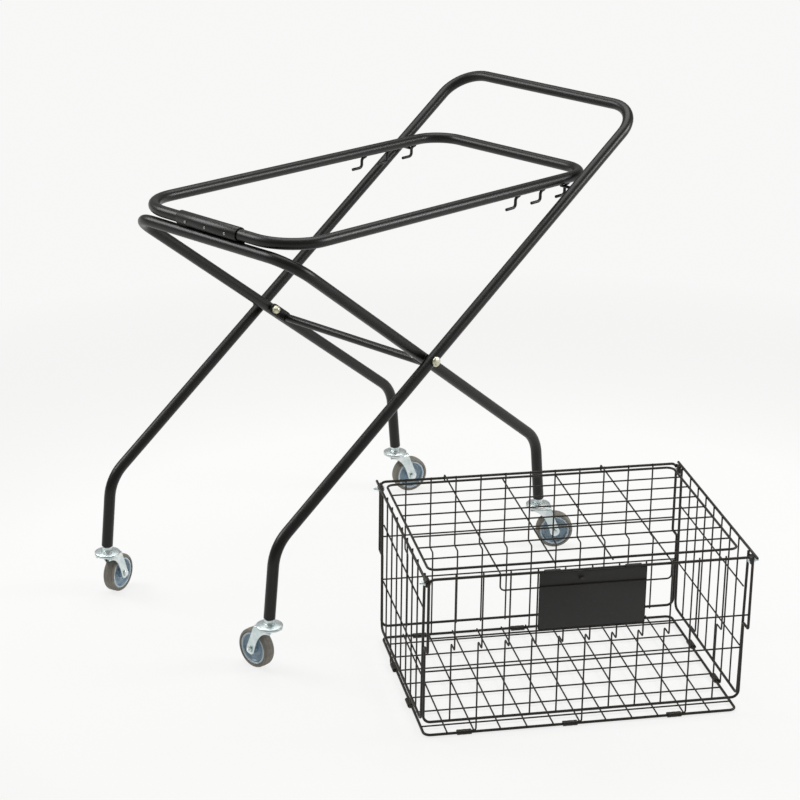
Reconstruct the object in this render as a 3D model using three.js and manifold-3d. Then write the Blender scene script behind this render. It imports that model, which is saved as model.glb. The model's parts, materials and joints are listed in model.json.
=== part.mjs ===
// Folding ball cart with a lift-off wire basket, in millimetres, +Z up.
// Two tube frames cross like scissors on one pivot line, a flat tube ring hinges on the inner frame
// and hooks over pins on the outer one, and the basket stands on the floor beside them.

import * as THREE from 'three';
import { mergeVertices } from 'three/addons/utils/BufferGeometryUtils.js';
import Module from 'manifold-3d';

const wasm = await Module();
wasm.setup();

const degrees = Math.PI / 180;

// Shared fits and facets
const seatGap = 0.3;
const runningGap = 0.4;
const overrun = 1;
const tubeSides = 12;
const thickWireSides = 6;
const thinWireSides = 4;
const pinSides = 8;
const roundSides = 12;
const wideArcStep = 18 * degrees;
const tightArcStep = 45 * degrees;
const tightRadius = 20;
const domeSteps = 3;

// Cart frames, seen from the side: a leg rises from its foot, bends and crosses to its top bar
const tubeDiameter = 22;
const legEnd = 108;
const handleFootX = -394;
const handleBend = { x: -380, z: 244.5 };
const handleTop = { x: 628, z: 894.5 };
const handleFlare = 12;
const handleCornerRadius = 70;
const supportFootX = 394;
const supportBend = { x: 378.5, z: 244 };
const supportTopX = -320.5;
const supportHalfWidth = 205;
const supportFlare = 13;
const supportCornerRadius = 60;
const frameSpacing = 4;
const legBendRadius = 75;

// Pivot bolts, cap nuts and the cross bar that ties them
const pivotBoltDiameter = 8;
const pivotHeadDiameter = 20;
const pivotHeadHeight = 6;
const pivotHeadRim = 1.5;
const spacerDiameter = 17;
const capNutFlats = 15;
const capNutHeight = 7;
const capNutNeck = 2;
const capNutDome = 6;
const capNutDomeDiameter = 13.5;
const crossBarDiameter = 16;
const crossBarReach = 42;
const crossBarTabWidth = 22;
const crossBarTabThickness = 3;

// Top ring, its hinge sleeve and its hooks
const ringHingeX = -318;
const ringEndX = 517.5;
const ringBelowHandle = 103.5;
const ringFall = 11;
const supportBelowRing = 24.5;
const ringOutset = 4;
const ringCornerRadius = 62;
const ringHingeCornerRadius = 86;
const sleeveWall = 2;
const sleeveLength = 160;
const sleeveValley = 6;
const rivetDiameter = 5.5;
const rivetHeight = 1.8;
const rivetRim = 0.6;
const rivetSpacing = 53;
const hookDiameter = 6;
const hookDrop = 21.5;
const hookFoot = 27;
const hookBendRadius = 7;
const hookCount = 3;
const hookSpacing = 74.2;
const hookTail = 12;
const pinDiameter = 6;
const pinReach = 26;

// Swivel casters
const wheelDiameter = 76;
const wheelWidth = 24;
const wheelSides = 16;
const rimRadius = 31;
const discRadius = 27;
const hubRadius = 9;
const webWidth = 8;
const rimWidth = 21;
const tyreShoulder = 5;
const casterTrail = 35;
const forkSheet = 2.5;
const forkClearance = 2;
const forkWheelClearance = 10.5;
const forkTopWidth = 34;
const forkEndRadius = 10;
const forkEndAngle = 18 * degrees;
const forkRear = 27;
const forkFlange = 3;
const forkSweep = 14;
const raceDiameter = 50;
const raceHeight = 4;
const kingpinDiameter = 9.4;
const kingpinHeadDiameter = 17;
const kingpinHeadHeight = 2.4;
const stemNutFlats = 17;
const stemNutHeight = 10;
const stemDiameter = 10;
const stemLength = 40;
const axleDiameter = 6;
const axleHeadFlats = 11;
const axleHeadHeight = 4;
const axleTip = 2;
const nearHandleTrail = 90 * degrees;
const farHandleTrail = 16.7 * degrees;
const farSupportTrail = -21.4 * degrees;
const nearSupportTrail = -43.2 * degrees;

// Basket of welded wire panels, in its own axes: x along its length, y in depth
const basketPlace = { x: -32, y: -612 };
const basketTurn = -35.2 * degrees;
const frameWire = 5;
const thinWire = 3;
const weldDepth = 0.45;
const topHeight = 314;
const stepHeight = 176;
const railHeight = 29;
const baseHeight = 4;
const basketPlay = 3;
const stepDepth = 26.5;
const panelHalfLength = 288;
const panelCornerRadius = 10;
const panelFootRadius = 13;
const stepRadius = 4;
const uprightsEachSide = 5;
const uprightStub = 4;
const upperBandHeight = 203;
const lowerBandHeight = 127;
const endBandHeight = 242;
const endPostTopInset = 2;
const endPostFootInset = 11;
const endUprightsInset = 9;
const endUprightsEachSide = 3;
const endRailOverhang = 7;
const baseCornerRadius = 12;
const floorWireShift = -5.5;
const floorWireSpacing = 110;
const floorWiresEachSide = 1;
const clipLength = 26;
const clipSheet = 1.2;
const clipOffset = 9;
const tailUprights = [-4, 0, 4];
const tailEndUprights = [-2, 2];
const lugSize = 14;
const lugSheet = 2;
const lugDrop = 9;
const cornerBoltDiameter = 5;
const cornerBoltFlats = 9;
const cornerNutHeight = 4;
const cornerBoltTip = 7;

// Lid, hinged on the back rail by two hooked wires that meet in a tongue at the front
const lidLeftMargin = 4;
const lidRightMargin = 20;
const lidFrontMargin = 21.5;
const lidBackMargin = 37.5;
const lidCornerRadius = 14;
const lidFrameWire = 4.5;
const lidLongWires = 7;
const lidHookSides = [-165, 139];
const lidInnerWires = [-62, 41];
const lidHookClearance = 0.7;
const tongueDepth = 31;
const tongueCornerRadius = 8;
const tongueBendRadius = 4;

// Bare sign plate on the front panel
const plateHalfWidth = 95.5;
const plateBottom = 207;
const plateSheet = 1.5;
const plateTabWidth = 28;
const plateTabSide = 72;
const plateTabDrop = 6;
const slotWidth = 9;
const slotHeight = 3;
const slotSide = -22;
const slotDrop = 13;

// Materials
const paint = new THREE.MeshStandardMaterial({ color: 0x24221f, roughness: 0.45, metalness: 0.1 });
const wirePaint = new THREE.MeshStandardMaterial({ color: 0x2b2823, roughness: 0.5, metalness: 0.1 });
const platePaint = new THREE.MeshStandardMaterial({ color: 0x2f2e2d, roughness: 0.55, metalness: 0 });
const zinc = new THREE.MeshStandardMaterial({ color: 0xc3cbca, roughness: 0.35, metalness: 0.9 });
const nylon = new THREE.MeshStandardMaterial({ color: 0x222222, roughness: 0.6, metalness: 0 });
const discPlastic = new THREE.MeshStandardMaterial({ color: 0x667482, roughness: 0.5, metalness: 0 });
const tyreRubber = new THREE.MeshStandardMaterial({ color: 0x6b6a5f, roughness: 0.8, metalness: 0 });

// Small vector helpers
const vec = (x, y, z) => new THREE.Vector3(x, y, z);
const alongX = vec(1, 0, 0);
const alongY = vec(0, 1, 0);
const alongZ = vec(0, 0, 1);
const corner = (x, y, z, radius = 0) => ({ at: vec(x, y, z), radius });

// Solid of a closed geometry
function solid(geometry) {
  const bare = geometry.clone();
  bare.deleteAttribute('normal');
  bare.deleteAttribute('uv');
  const merged = mergeVertices(bare);
  const mesh = new wasm.Mesh({
    numProp: 3,
    vertProperties: new Float32Array(merged.attributes.position.array),
    triVerts: new Uint32Array(merged.index.array),
  });
  return new wasm.Manifold(mesh);
}

// All the geometries joined into one solid
function weld(geometries) {
  return geometries.map(solid).reduce((whole, piece) => whole.add(piece));
}

function cut(whole, geometries) {
  return geometries.map(solid).reduce((left, piece) => left.subtract(piece), whole);
}

function geometryOf(body) {
  const mesh = body.getMesh();
  const geometry = new THREE.BufferGeometry();
  geometry.setAttribute('position', new THREE.BufferAttribute(mesh.vertProperties, mesh.numProp));
  geometry.setIndex(new THREE.BufferAttribute(mesh.triVerts, 1));
  geometry.computeVertexNormals();
  return geometry;
}

function part(name, body, material) {
  const geometry = body.isBufferGeometry ? body : geometryOf(body);
  const mesh = new THREE.Mesh(geometry, material);
  mesh.name = name;
  return mesh;
}

// Points and directions along a bent rod: straight runs with round bends
function stationsOf(corners, closed) {
  const count = corners.length;
  const stations = [];
  corners.forEach((here, index) => {
    const before = corners[(index + count - 1) % count].at;
    const after = corners[(index + 1) % count].at;
    const incoming = here.at.clone().sub(before).normalize();
    const outgoing = after.clone().sub(here.at).normalize();
    if (!closed && index === 0) {
      stations.push({ point: here.at.clone(), tangent: outgoing });
      return;
    }
    if (!closed && index === count - 1) {
      stations.push({ point: here.at.clone(), tangent: incoming });
      return;
    }
    const turn = incoming.angleTo(outgoing);
    const axis = incoming.clone().cross(outgoing).normalize();
    const start = here.at.clone().addScaledVector(incoming, -here.radius * Math.tan(turn / 2));
    const centre = start.clone().addScaledVector(axis.clone().cross(incoming), here.radius);
    const arcStep = here.radius < tightRadius ? tightArcStep : wideArcStep;
    const steps = Math.max(2, Math.round(turn / arcStep));
    for (let step = 0; step <= steps; step++) {
      const angle = turn * step / steps;
      stations.push({
        point: start.clone().sub(centre).applyAxisAngle(axis, angle).add(centre),
        tangent: incoming.clone().applyAxisAngle(axis, angle),
      });
    }
  });
  return stations;
}

// A curve through chosen stations, whose section keeps one face towards a given side without twist
class BentRoute extends THREE.Curve {
  constructor(stations, side) {
    super();
    this.stations = stations;
    this.side = side;
  }

  get lastStation() {
    return this.stations.length - 1;
  }

  getPointAt(share) {
    return this.stations[Math.round(share * this.lastStation)].point.clone();
  }

  getTangentAt(share) {
    return this.stations[Math.round(share * this.lastStation)].tangent.clone();
  }

  computeFrenetFrames() {
    const tangents = this.stations.map((station) => station.tangent);
    const normals = [];
    const binormals = [];
    const normal = this.side.clone().projectOnPlane(tangents[0]).normalize();
    tangents.forEach((tangent, index) => {
      if (index > 0) {
        normal.applyQuaternion(new THREE.Quaternion().setFromUnitVectors(tangents[index - 1], tangent));
      }
      normals.push(normal.clone());
      binormals.push(tangent.clone().cross(normal));
    });
    return { tangents, normals, binormals };
  }
}

// Even polygon whose flats stand half a diameter from its centre
function flatPolygon(diameter, sides) {
  const radius = diameter / 2 / Math.cos(Math.PI / sides);
  const points = [];
  for (let index = 0; index < sides; index++) {
    const angle = (index + 0.5) * 2 * Math.PI / sides;
    points.push(new THREE.Vector2(radius * Math.cos(angle), radius * Math.sin(angle)));
  }
  return points;
}

// Rod with two ends
function rod(corners, diameter, sides, side) {
  const route = new BentRoute(stationsOf(corners, false), side);
  const section = new THREE.Shape(flatPolygon(diameter, sides));
  return new THREE.ExtrudeGeometry(section, { steps: route.lastStation, extrudePath: route });
}

// Rod bent into a closed loop
function loop(corners, diameter, sides, side) {
  const route = new BentRoute(stationsOf(corners, true), side);
  const { normals, binormals } = route.computeFrenetFrames();
  const section = flatPolygon(diameter, sides);
  const positions = [];
  const faces = [];
  const rings = route.stations.length;
  route.stations.forEach(({ point }, ring) => {
    const next = (ring + 1) % rings;
    section.forEach(({ x, y }, index) => {
      const place = point.clone().addScaledVector(normals[ring], x).addScaledVector(binormals[ring], y);
      positions.push(place.x, place.y, place.z);
      const beside = (index + 1) % sides;
      const a = ring * sides + index;
      const b = ring * sides + beside;
      const c = next * sides + beside;
      const d = next * sides + index;
      faces.push(a, b, c, a, c, d);
    });
  });
  const geometry = new THREE.BufferGeometry();
  geometry.setAttribute('position', new THREE.Float32BufferAttribute(positions, 3));
  geometry.setIndex(faces);
  return geometry;
}

// Straight pin from one point to another along Y, its corners on its diameter
function pinAlongY(x, z, fromY, toY, diameter, sides = pinSides) {
  const length = Math.abs(toY - fromY);
  const geometry = new THREE.CylinderGeometry(diameter / 2, diameter / 2, length, sides);
  geometry.translate(x, (fromY + toY) / 2, z);
  return geometry;
}

// Clearance bore along Y: its flats stand a gap away from the pin that it takes
function boreAlongY(x, z, fromY, toY, shankDiameter, gap = runningGap) {
  const diameter = (shankDiameter + 2 * gap) / Math.cos(Math.PI / pinSides);
  return pinAlongY(x, z, fromY, toY, diameter);
}

// Round body from its half outline, standing along Z
function turned(outline, sides = roundSides, start = 0) {
  const points = outline.map(([radius, height]) => new THREE.Vector2(radius, height));
  const geometry = new THREE.LatheGeometry(points, sides, start);
  geometry.rotateX(Math.PI / 2);
  return geometry;
}

// Half outline of a dome: an upright rim, then a quarter ellipse that closes on the axis
function domeOutline(diameter, bottom, rim, top) {
  const radius = diameter / 2;
  const outline = [[0, bottom], [radius, bottom]];
  for (let step = 0; step < domeSteps; step++) {
    const angle = step / domeSteps * Math.PI / 2;
    outline.push([radius * Math.cos(angle), rim + (top - rim) * Math.sin(angle)]);
  }
  outline.push([0, top]);
  return outline;
}

function hexPrism(flats, height, bottom) {
  const radius = flats / 2 / Math.cos(Math.PI / 6);
  const geometry = new THREE.CylinderGeometry(radius, radius, height, 6);
  geometry.rotateX(Math.PI / 2);
  geometry.translate(0, 0, bottom + height / 2);
  return geometry;
}

function boreAlongZ(shankDiameter, bottom, top, gap = runningGap) {
  const radius = (shankDiameter / 2 + gap) / Math.cos(Math.PI / pinSides);
  const geometry = new THREE.CylinderGeometry(radius, radius, top - bottom, pinSides);
  geometry.rotateX(Math.PI / 2);
  geometry.translate(0, 0, (bottom + top) / 2);
  return geometry;
}

function block(fromX, toX, fromY, toY, fromZ, toZ) {
  const geometry = new THREE.BoxGeometry(toX - fromX, toY - fromY, toZ - fromZ);
  geometry.translate((fromX + toX) / 2, (fromY + toY) / 2, (fromZ + toZ) / 2);
  return geometry;
}

// Sizes that follow from the driving ones
const tubeRadius = tubeDiameter / 2;
const handleHalfWidth = supportHalfWidth + tubeDiameter + frameSpacing;
const handleTopHalfWidth = handleHalfWidth + handleFlare;
const supportTopHalfWidth = supportHalfWidth + supportFlare;
const ringHinge = { x: ringHingeX, z: handleTop.z - ringBelowHandle };
const ringEnd = { x: ringEndX, z: ringHinge.z - ringFall };
const supportTop = { x: supportTopX, z: ringHinge.z - supportBelowRing };
const ringHalfWidth = supportHalfWidth + ringOutset;
const lowerHalfDepth = ringHalfWidth - tubeRadius - basketPlay;
const upperHalfDepth = lowerHalfDepth + stepDepth;
const uprightSpacing = panelHalfLength / (uprightsEachSide + 1);
const endPostTopHalfDepth = lowerHalfDepth - endPostTopInset;
const endPostFootHalfDepth = lowerHalfDepth - endPostFootInset;
const endUprightSpacing = (lowerHalfDepth - endUprightsInset) / (endUprightsEachSide + 1);
const lidLeft = lidLeftMargin - panelHalfLength;
const lidRight = panelHalfLength - lidRightMargin;
const lidFront = lidFrontMargin - upperHalfDepth;
const lidBack = upperHalfDepth - lidBackMargin;

// Pivot line where the two side profiles cross
const handleSlope = (handleTop.z - handleBend.z) / (handleTop.x - handleBend.x);
const supportSlope = (supportTop.z - supportBend.z) / (supportTop.x - supportBend.x);
const pivotX = (supportBend.z - handleBend.z + handleSlope * handleBend.x - supportSlope * supportBend.x)
  / (handleSlope - supportSlope);
const pivotZ = handleBend.z + handleSlope * (pivotX - handleBend.x);
const handleShare = (x) => (x - handleBend.x) / (handleTop.x - handleBend.x);
const supportShare = (x) => (x - supportBend.x) / (supportTop.x - supportBend.x);
const handleWidthAt = (x) => handleHalfWidth + (handleTopHalfWidth - handleHalfWidth) * handleShare(x);
const supportWidthAt = (x) => supportHalfWidth + (supportTopHalfWidth - supportHalfWidth) * supportShare(x);
const handleAtPivot = handleWidthAt(pivotX);
const supportAtPivot = supportWidthAt(pivotX);

// Places along one side of the pivot stack, measured outwards from the middle of the cart
const supportInner = supportAtPivot - tubeRadius;
const supportOuter = supportAtPivot + tubeRadius;
const handleInner = handleAtPivot - tubeRadius;
const handleOuter = handleAtPivot + tubeRadius;
const tabOuter = supportWidthAt(pivotX + crossBarReach + crossBarTabWidth / 2) - tubeRadius - seatGap;
const tabInner = tabOuter - crossBarTabThickness;
const nutOuter = tabInner - seatGap;
const nutInner = nutOuter - capNutHeight;
const boltInner = nutInner + overrun;
const headInner = handleOuter + seatGap;

const sides = [{ name: 'near', sign: -1 }, { name: 'far', sign: 1 }];

// A U-shaped tube frame with drilled pivot holes and stem sockets in its feet
function tubeFrame(footX, bend, top, halfWidth, topHalfWidth, cornerRadius) {
  const half = (sign) => [
    corner(footX, sign * halfWidth, legEnd),
    corner(bend.x, sign * halfWidth, bend.z, legBendRadius),
    corner(top.x, sign * topHalfWidth, top.z, cornerRadius),
  ];
  return rod([...half(-1), ...half(1).reverse()], tubeDiameter, tubeSides, alongY);
}

// The stem stands upright in a leg that leans a little
function stemSocket(footX, y) {
  const socket = boreAlongZ(stemDiameter, legEnd - tubeRadius, legEnd + stemLength + overrun, seatGap);
  socket.translate(footX, y, 0);
  return socket;
}

function handleFrame() {
  const frame = tubeFrame(handleFootX, handleBend, handleTop, handleHalfWidth, handleTopHalfWidth,
    handleCornerRadius);
  const pins = sides.map(({ sign }) => pinAlongY(pinX, pinZ, sign * pinInner, sign * handleWidthAt(pinX),
    pinDiameter));
  const holes = sides.flatMap(({ sign }) => [
    boreAlongY(pivotX, pivotZ, sign * (handleInner - overrun), sign * (handleOuter + overrun),
      pivotBoltDiameter),
    stemSocket(handleFootX, sign * handleHalfWidth),
  ]);
  return cut(weld([frame, ...pins]), holes);
}

function supportFrame() {
  const frame = tubeFrame(supportFootX, supportBend, supportTop, supportHalfWidth, supportTopHalfWidth,
    supportCornerRadius);
  const holes = sides.flatMap(({ sign }) => [
    boreAlongY(pivotX, pivotZ, sign * (supportInner - overrun), sign * (supportOuter + overrun),
      pivotBoltDiameter),
    stemSocket(supportFootX, sign * supportHalfWidth),
  ]);
  return cut(solid(frame), holes);
}

// Ring height along its rails, and the pin under it on the handle frame
const ringSlope = (ringEnd.z - ringHinge.z) / (ringEnd.x - ringHinge.x);
const ringHeightAt = (x) => ringHinge.z + ringSlope * (x - ringHinge.x);
const ringUp = vec(-ringSlope, 0, 1).normalize();
const pinBelowRail = tubeRadius + seatGap + pinDiameter / 2;
const ringAtZero = ringHinge.z - ringSlope * ringHinge.x;
const handleAtZero = handleBend.z - handleSlope * handleBend.x;
const pinX = (ringAtZero - pinBelowRail - handleAtZero) / (handleSlope - ringSlope);
const pinZ = ringHeightAt(pinX) - pinBelowRail;
const pinInner = handleWidthAt(pinX) - tubeRadius - pinReach;
const firstHookX = pinX + pinDiameter / 2 + seatGap + hookDiameter / 2;

function pivotBolt(sign) {
  const head = turned(domeOutline(pivotHeadDiameter, 0, pivotHeadRim, pivotHeadHeight));
  head.rotateX(-sign * Math.PI / 2);
  head.translate(pivotX, sign * headInner, pivotZ);
  const shank = pinAlongY(pivotX, pivotZ, sign * boltInner, sign * (headInner + pivotHeadRim),
    pivotBoltDiameter);
  return weld([head, shank]);
}

function capNut(sign) {
  const hex = hexPrism(capNutFlats, capNutHeight, 0);
  const dome = turned(domeOutline(capNutDomeDiameter, capNutHeight / 2, capNutHeight + capNutNeck,
    capNutHeight + capNutDome));
  const bore = boreAlongZ(pivotBoltDiameter, -overrun, capNutHeight, seatGap);
  const nut = geometryOf(cut(weld([hex, dome]), [bore]));
  nut.rotateX(sign * Math.PI / 2);
  nut.translate(pivotX, sign * nutOuter, pivotZ);
  return nut;
}

function pivotSpacer(sign) {
  const spacer = pinAlongY(pivotX, pivotZ, sign * (supportOuter + seatGap), sign * (handleInner - seatGap),
    spacerDiameter);
  const bore = boreAlongY(pivotX, pivotZ, sign * (supportOuter - overrun), sign * (handleInner + overrun),
    pivotBoltDiameter);
  return cut(solid(spacer), [bore]);
}

// Cross bar between the support's legs, welded to two tabs that hang from the pivot bolts
function crossBar() {
  const along = Math.atan(supportSlope);
  const barX = pivotX + crossBarReach * Math.cos(along);
  const barZ = pivotZ + crossBarReach * Math.sin(along);
  const bar = pinAlongY(barX, barZ, -tabInner - overrun, tabInner + overrun, crossBarDiameter, roundSides);
  const tabs = sides.map(({ sign }) => {
    const outline = new THREE.Shape();
    outline.absarc(0, 0, crossBarTabWidth / 2, Math.PI / 2, 3 * Math.PI / 2, false);
    outline.absarc(crossBarReach, 0, crossBarTabWidth / 2, -Math.PI / 2, Math.PI / 2, false);
    const tab = new THREE.ExtrudeGeometry(outline,
      { depth: crossBarTabThickness, bevelEnabled: false, curveSegments: pinSides / 2 });
    tab.rotateX(Math.PI / 2);
    tab.translate(0, sign > 0 ? tabOuter : -tabInner, 0);
    tab.rotateY(-along);
    tab.translate(pivotX, 0, pivotZ);
    return tab;
  });
  const bores = sides.map(({ sign }) => boreAlongY(pivotX, pivotZ, sign * (tabInner - overrun),
    sign * (tabOuter + overrun), pivotBoltDiameter));
  return cut(weld([bar, ...tabs]), bores);
}

// Sheet strap: an eye lets the ring's end bar turn, and its back goes down behind the support's
// top bar and under it, so that the bar's front stays bare
function hingeSleeve() {
  const innerRadius = tubeRadius / Math.cos(Math.PI / tubeSides) + seatGap;
  const outerRadius = innerRadius + sleeveWall;
  const halfLength = sleeveLength / 2;
  const across = Math.hypot(ringHinge.x - supportTop.x, ringHinge.z - supportTop.z);
  const lean = Math.atan2(ringHinge.z - supportTop.z, ringHinge.x - supportTop.x);
  const fromSupport = (geometry) => {
    geometry.rotateY(-lean);
    geometry.translate(supportTop.x, 0, supportTop.z);
    return geometry;
  };
  const around = ({ x, z }, radius, reach) => pinAlongY(x, z, -reach, reach,
    2 * radius / Math.cos(Math.PI / tubeSides), tubeSides);
  const centres = [supportTop, ringHinge];
  const back = fromSupport(block(0, across, -halfLength, halfLength, -outerRadius, sleeveWall - outerRadius));
  const front = fromSupport(block(-2 * outerRadius, across / 2, -sleeveLength, sleeveLength,
    0, 2 * outerRadius));
  const valley = fromSupport(block(across / 2 - sleeveValley, across / 2 + 1, -sleeveLength, sleeveLength,
    -sleeveValley, 2 * outerRadius));
  const rivets = [-1, 0, 1].map((step) => {
    const rivet = turned(domeOutline(rivetDiameter, -sleeveWall, rivetRim, rivetHeight), thickWireSides);
    rivet.translate(0, step * rivetSpacing, outerRadius);
    rivet.rotateY(-Math.PI / 2 - Math.PI / tubeSides);
    rivet.translate(ringHinge.x, 0, ringHinge.z);
    return rivet;
  });
  const eyes = centres.map((centre) => around(centre, outerRadius, halfLength));
  const holes = centres.map((centre) => around(centre, innerRadius, sleeveLength));
  return cut(weld([...eyes, back, ...rivets]), [...holes, front, valley]);
}

// Flat ring with three hook rods under each rail
function topRing() {
  const ring = loop([
    corner(ringHinge.x, -ringHalfWidth, ringHinge.z, ringHingeCornerRadius),
    corner(ringEnd.x, -ringHalfWidth, ringEnd.z, ringCornerRadius),
    corner(ringEnd.x, ringHalfWidth, ringEnd.z, ringCornerRadius),
    corner(ringHinge.x, ringHalfWidth, ringHinge.z, ringHingeCornerRadius),
  ], tubeDiameter, tubeSides, ringUp);
  const hooks = sides.flatMap(({ sign }) => Array.from({ length: hookCount }, (_, index) => {
    const x = firstHookX - index * hookSpacing;
    const rail = ringHeightAt(x);
    const foot = rail - tubeRadius - hookDrop;
    const y = sign * ringHalfWidth;
    return rod([
      corner(x + hookTail, y, rail - tubeRadius),
      corner(x, y, rail - tubeRadius - hookDiameter / 2, hookBendRadius),
      corner(x, y, foot, hookBendRadius),
      corner(x - hookFoot, y, foot),
    ], hookDiameter, thickWireSides, alongY);
  }));
  return weld([ring, ...hooks]);
}

// One caster, standing at the origin with its swivel axis along Z and its wheel towards +X
const wheelRadius = wheelDiameter / 2;
const crownBottom = wheelDiameter + forkWheelClearance;
const crownTop = crownBottom + forkSheet;
const raceTop = crownTop + raceHeight;
const capBottom = raceTop + seatGap;
const capTop = capBottom + raceHeight;
const cheekInner = wheelWidth / 2 + forkClearance;
const cheekOuter = cheekInner + forkSheet;

function casterStem() {
  const outline = [
    [0, crownBottom - seatGap - kingpinHeadHeight],
    [kingpinHeadDiameter / 2, crownBottom - seatGap - kingpinHeadHeight],
    [kingpinHeadDiameter / 2, crownBottom - seatGap],
    [kingpinDiameter / 2, crownBottom - seatGap],
    [kingpinDiameter / 2, capBottom],
    [raceDiameter / 2, capBottom],
    [raceDiameter / 2, capTop - raceHeight / 2],
    [raceDiameter / 3, capTop],
    [stemDiameter / 2, capTop],
    [stemDiameter / 2, legEnd + stemLength],
    [0, legEnd + stemLength],
  ];
  return weld([turned(outline), hexPrism(stemNutFlats, stemNutHeight, capTop - overrun)]);
}

function casterFork() {
  const race = turned([
    [0, crownBottom],
    [raceDiameter / 3, crownBottom],
    [raceDiameter / 2, crownTop],
    [raceDiameter / 2, raceTop],
    [0, raceTop],
  ]);
  const cheeks = sides.map(({ sign }) => {
    const outline = new THREE.Shape();
    outline.moveTo(-forkTopWidth / 2, crownTop + overrun);
    outline.lineTo(-forkTopWidth / 2, crownBottom - forkFlange);
    outline.quadraticCurveTo(forkSweep, crownBottom - forkFlange,
      casterTrail - forkEndRadius * Math.cos(forkEndAngle),
      wheelRadius - forkEndRadius * Math.sin(forkEndAngle));
    outline.absarc(casterTrail, wheelRadius, forkEndRadius, Math.PI + forkEndAngle, forkEndAngle, false);
    outline.lineTo(forkRear, crownTop + overrun);
    const cheek = new THREE.ExtrudeGeometry(outline,
      { depth: forkSheet, bevelEnabled: false, curveSegments: thickWireSides });
    cheek.rotateX(Math.PI / 2);
    cheek.translate(0, sign > 0 ? cheekOuter : -cheekInner, 0);
    return cheek;
  });
  const crownSide = cheekInner + forkSheet / 2;
  const crown = block(overrun - forkTopWidth / 2, forkRear - overrun, -crownSide, crownSide,
    crownBottom, crownTop);
  const bores = [
    boreAlongZ(kingpinDiameter, crownBottom - overrun, raceTop + overrun),
    boreAlongY(casterTrail, wheelRadius, -cheekOuter - overrun, cheekOuter + overrun, axleDiameter, seatGap),
  ];
  return cut(weld([race, ...cheeks, crown]), bores);
}

function axleBolt() {
  const bolt = weld([
    hexPrism(axleHeadFlats, axleHeadHeight, -cheekOuter - seatGap - axleHeadHeight),
    turned([
      [0, -cheekOuter - axleHeadHeight / 2],
      [axleDiameter / 2, -cheekOuter - axleHeadHeight / 2],
      [axleDiameter / 2, cheekOuter + seatGap + axleHeadHeight + axleTip],
      [0, cheekOuter + seatGap + axleHeadHeight + axleTip],
    ], pinSides),
  ]);
  return layAxle(geometryOf(bolt));
}

function axleNut() {
  const nut = cut(solid(hexPrism(axleHeadFlats, axleHeadHeight, cheekOuter + seatGap)),
    [boreAlongZ(axleDiameter, 0, 2 * cheekOuter, seatGap)]);
  return layAxle(geometryOf(nut));
}

// From standing along Z to lying along Y at the wheel's centre
function layAxle(geometry) {
  geometry.rotateX(-Math.PI / 2);
  geometry.translate(casterTrail, 0, wheelRadius);
  return geometry;
}

function wheelCentre() {
  const hubHalf = cheekInner - seatGap;
  const bore = axleDiameter / 2 + runningGap;
  const outline = [
    [bore, -hubHalf],
    [hubRadius, -hubHalf],
    [hubRadius, -webWidth / 2],
    [discRadius, -webWidth / 2],
    [discRadius, -rimWidth / 2],
    [rimRadius, -rimWidth / 2],
    [rimRadius, rimWidth / 2],
    [discRadius, rimWidth / 2],
    [discRadius, webWidth / 2],
    [hubRadius, webWidth / 2],
    [hubRadius, hubHalf],
    [bore, hubHalf],
    [bore, -hubHalf],
  ];
  return layAxle(turned(outline, wheelSides, Math.PI / wheelSides));
}

function tyre() {
  const tread = wheelRadius / Math.cos(Math.PI / wheelSides);
  const seat = rimRadius + seatGap / Math.cos(Math.PI / wheelSides);
  const halfWidth = wheelWidth / 2;
  const outline = [
    [seat, -halfWidth],
    [tread - tyreShoulder, -halfWidth],
    [tread, -halfWidth + tyreShoulder],
    [tread, halfWidth - tyreShoulder],
    [tread - tyreShoulder, halfWidth],
    [seat, halfWidth],
    [seat, -halfWidth],
  ];
  return layAxle(turned(outline, wheelSides, Math.PI / wheelSides));
}

function caster(name, footX, y, trail) {
  const group = new THREE.Group();
  const turning = new THREE.Group();
  turning.rotation.z = trail;
  turning.add(
    part(`${name}_fork`, casterFork(), zinc),
    part(`${name}_axle_bolt`, axleBolt(), zinc),
    part(`${name}_axle_nut`, axleNut(), zinc),
    part(`${name}_wheel`, wheelCentre(), discPlastic),
    part(`${name}_tyre`, tyre(), tyreRubber),
  );
  group.add(part(`${name}_stem`, casterStem(), zinc), turning);
  group.position.set(footX, y, 0);
  return group;
}

// Wires that repeat across a panel
const steps = (eachSide) => Array.from({ length: 2 * eachSide + 1 }, (_, index) => index - eachSide);
const thinOnFrame = frameWire / 2 + thinWire / 2 - weldDepth;
const thinOnThin = thinWire - weldDepth;
const frameRadius = frameWire / 2;
const frameReach = frameRadius / Math.cos(Math.PI / thickWireSides);
const thinRadius = thinWire / 2;
const uprightInset = thinOnFrame;
const endRailPlane = panelHalfLength + frameReach + seatGap + frameRadius;
const endUprightPlane = endRailPlane - thinOnFrame;
const endPlane = endRailPlane - frameWire + 2 * weldDepth;
const baseHalfDepth = lowerHalfDepth - uprightInset + thinRadius + seatGap + frameReach;
const baseHalfLength = endUprightPlane - thinRadius - seatGap - frameReach;
const tailReach = clipOffset + clipLength;

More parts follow.
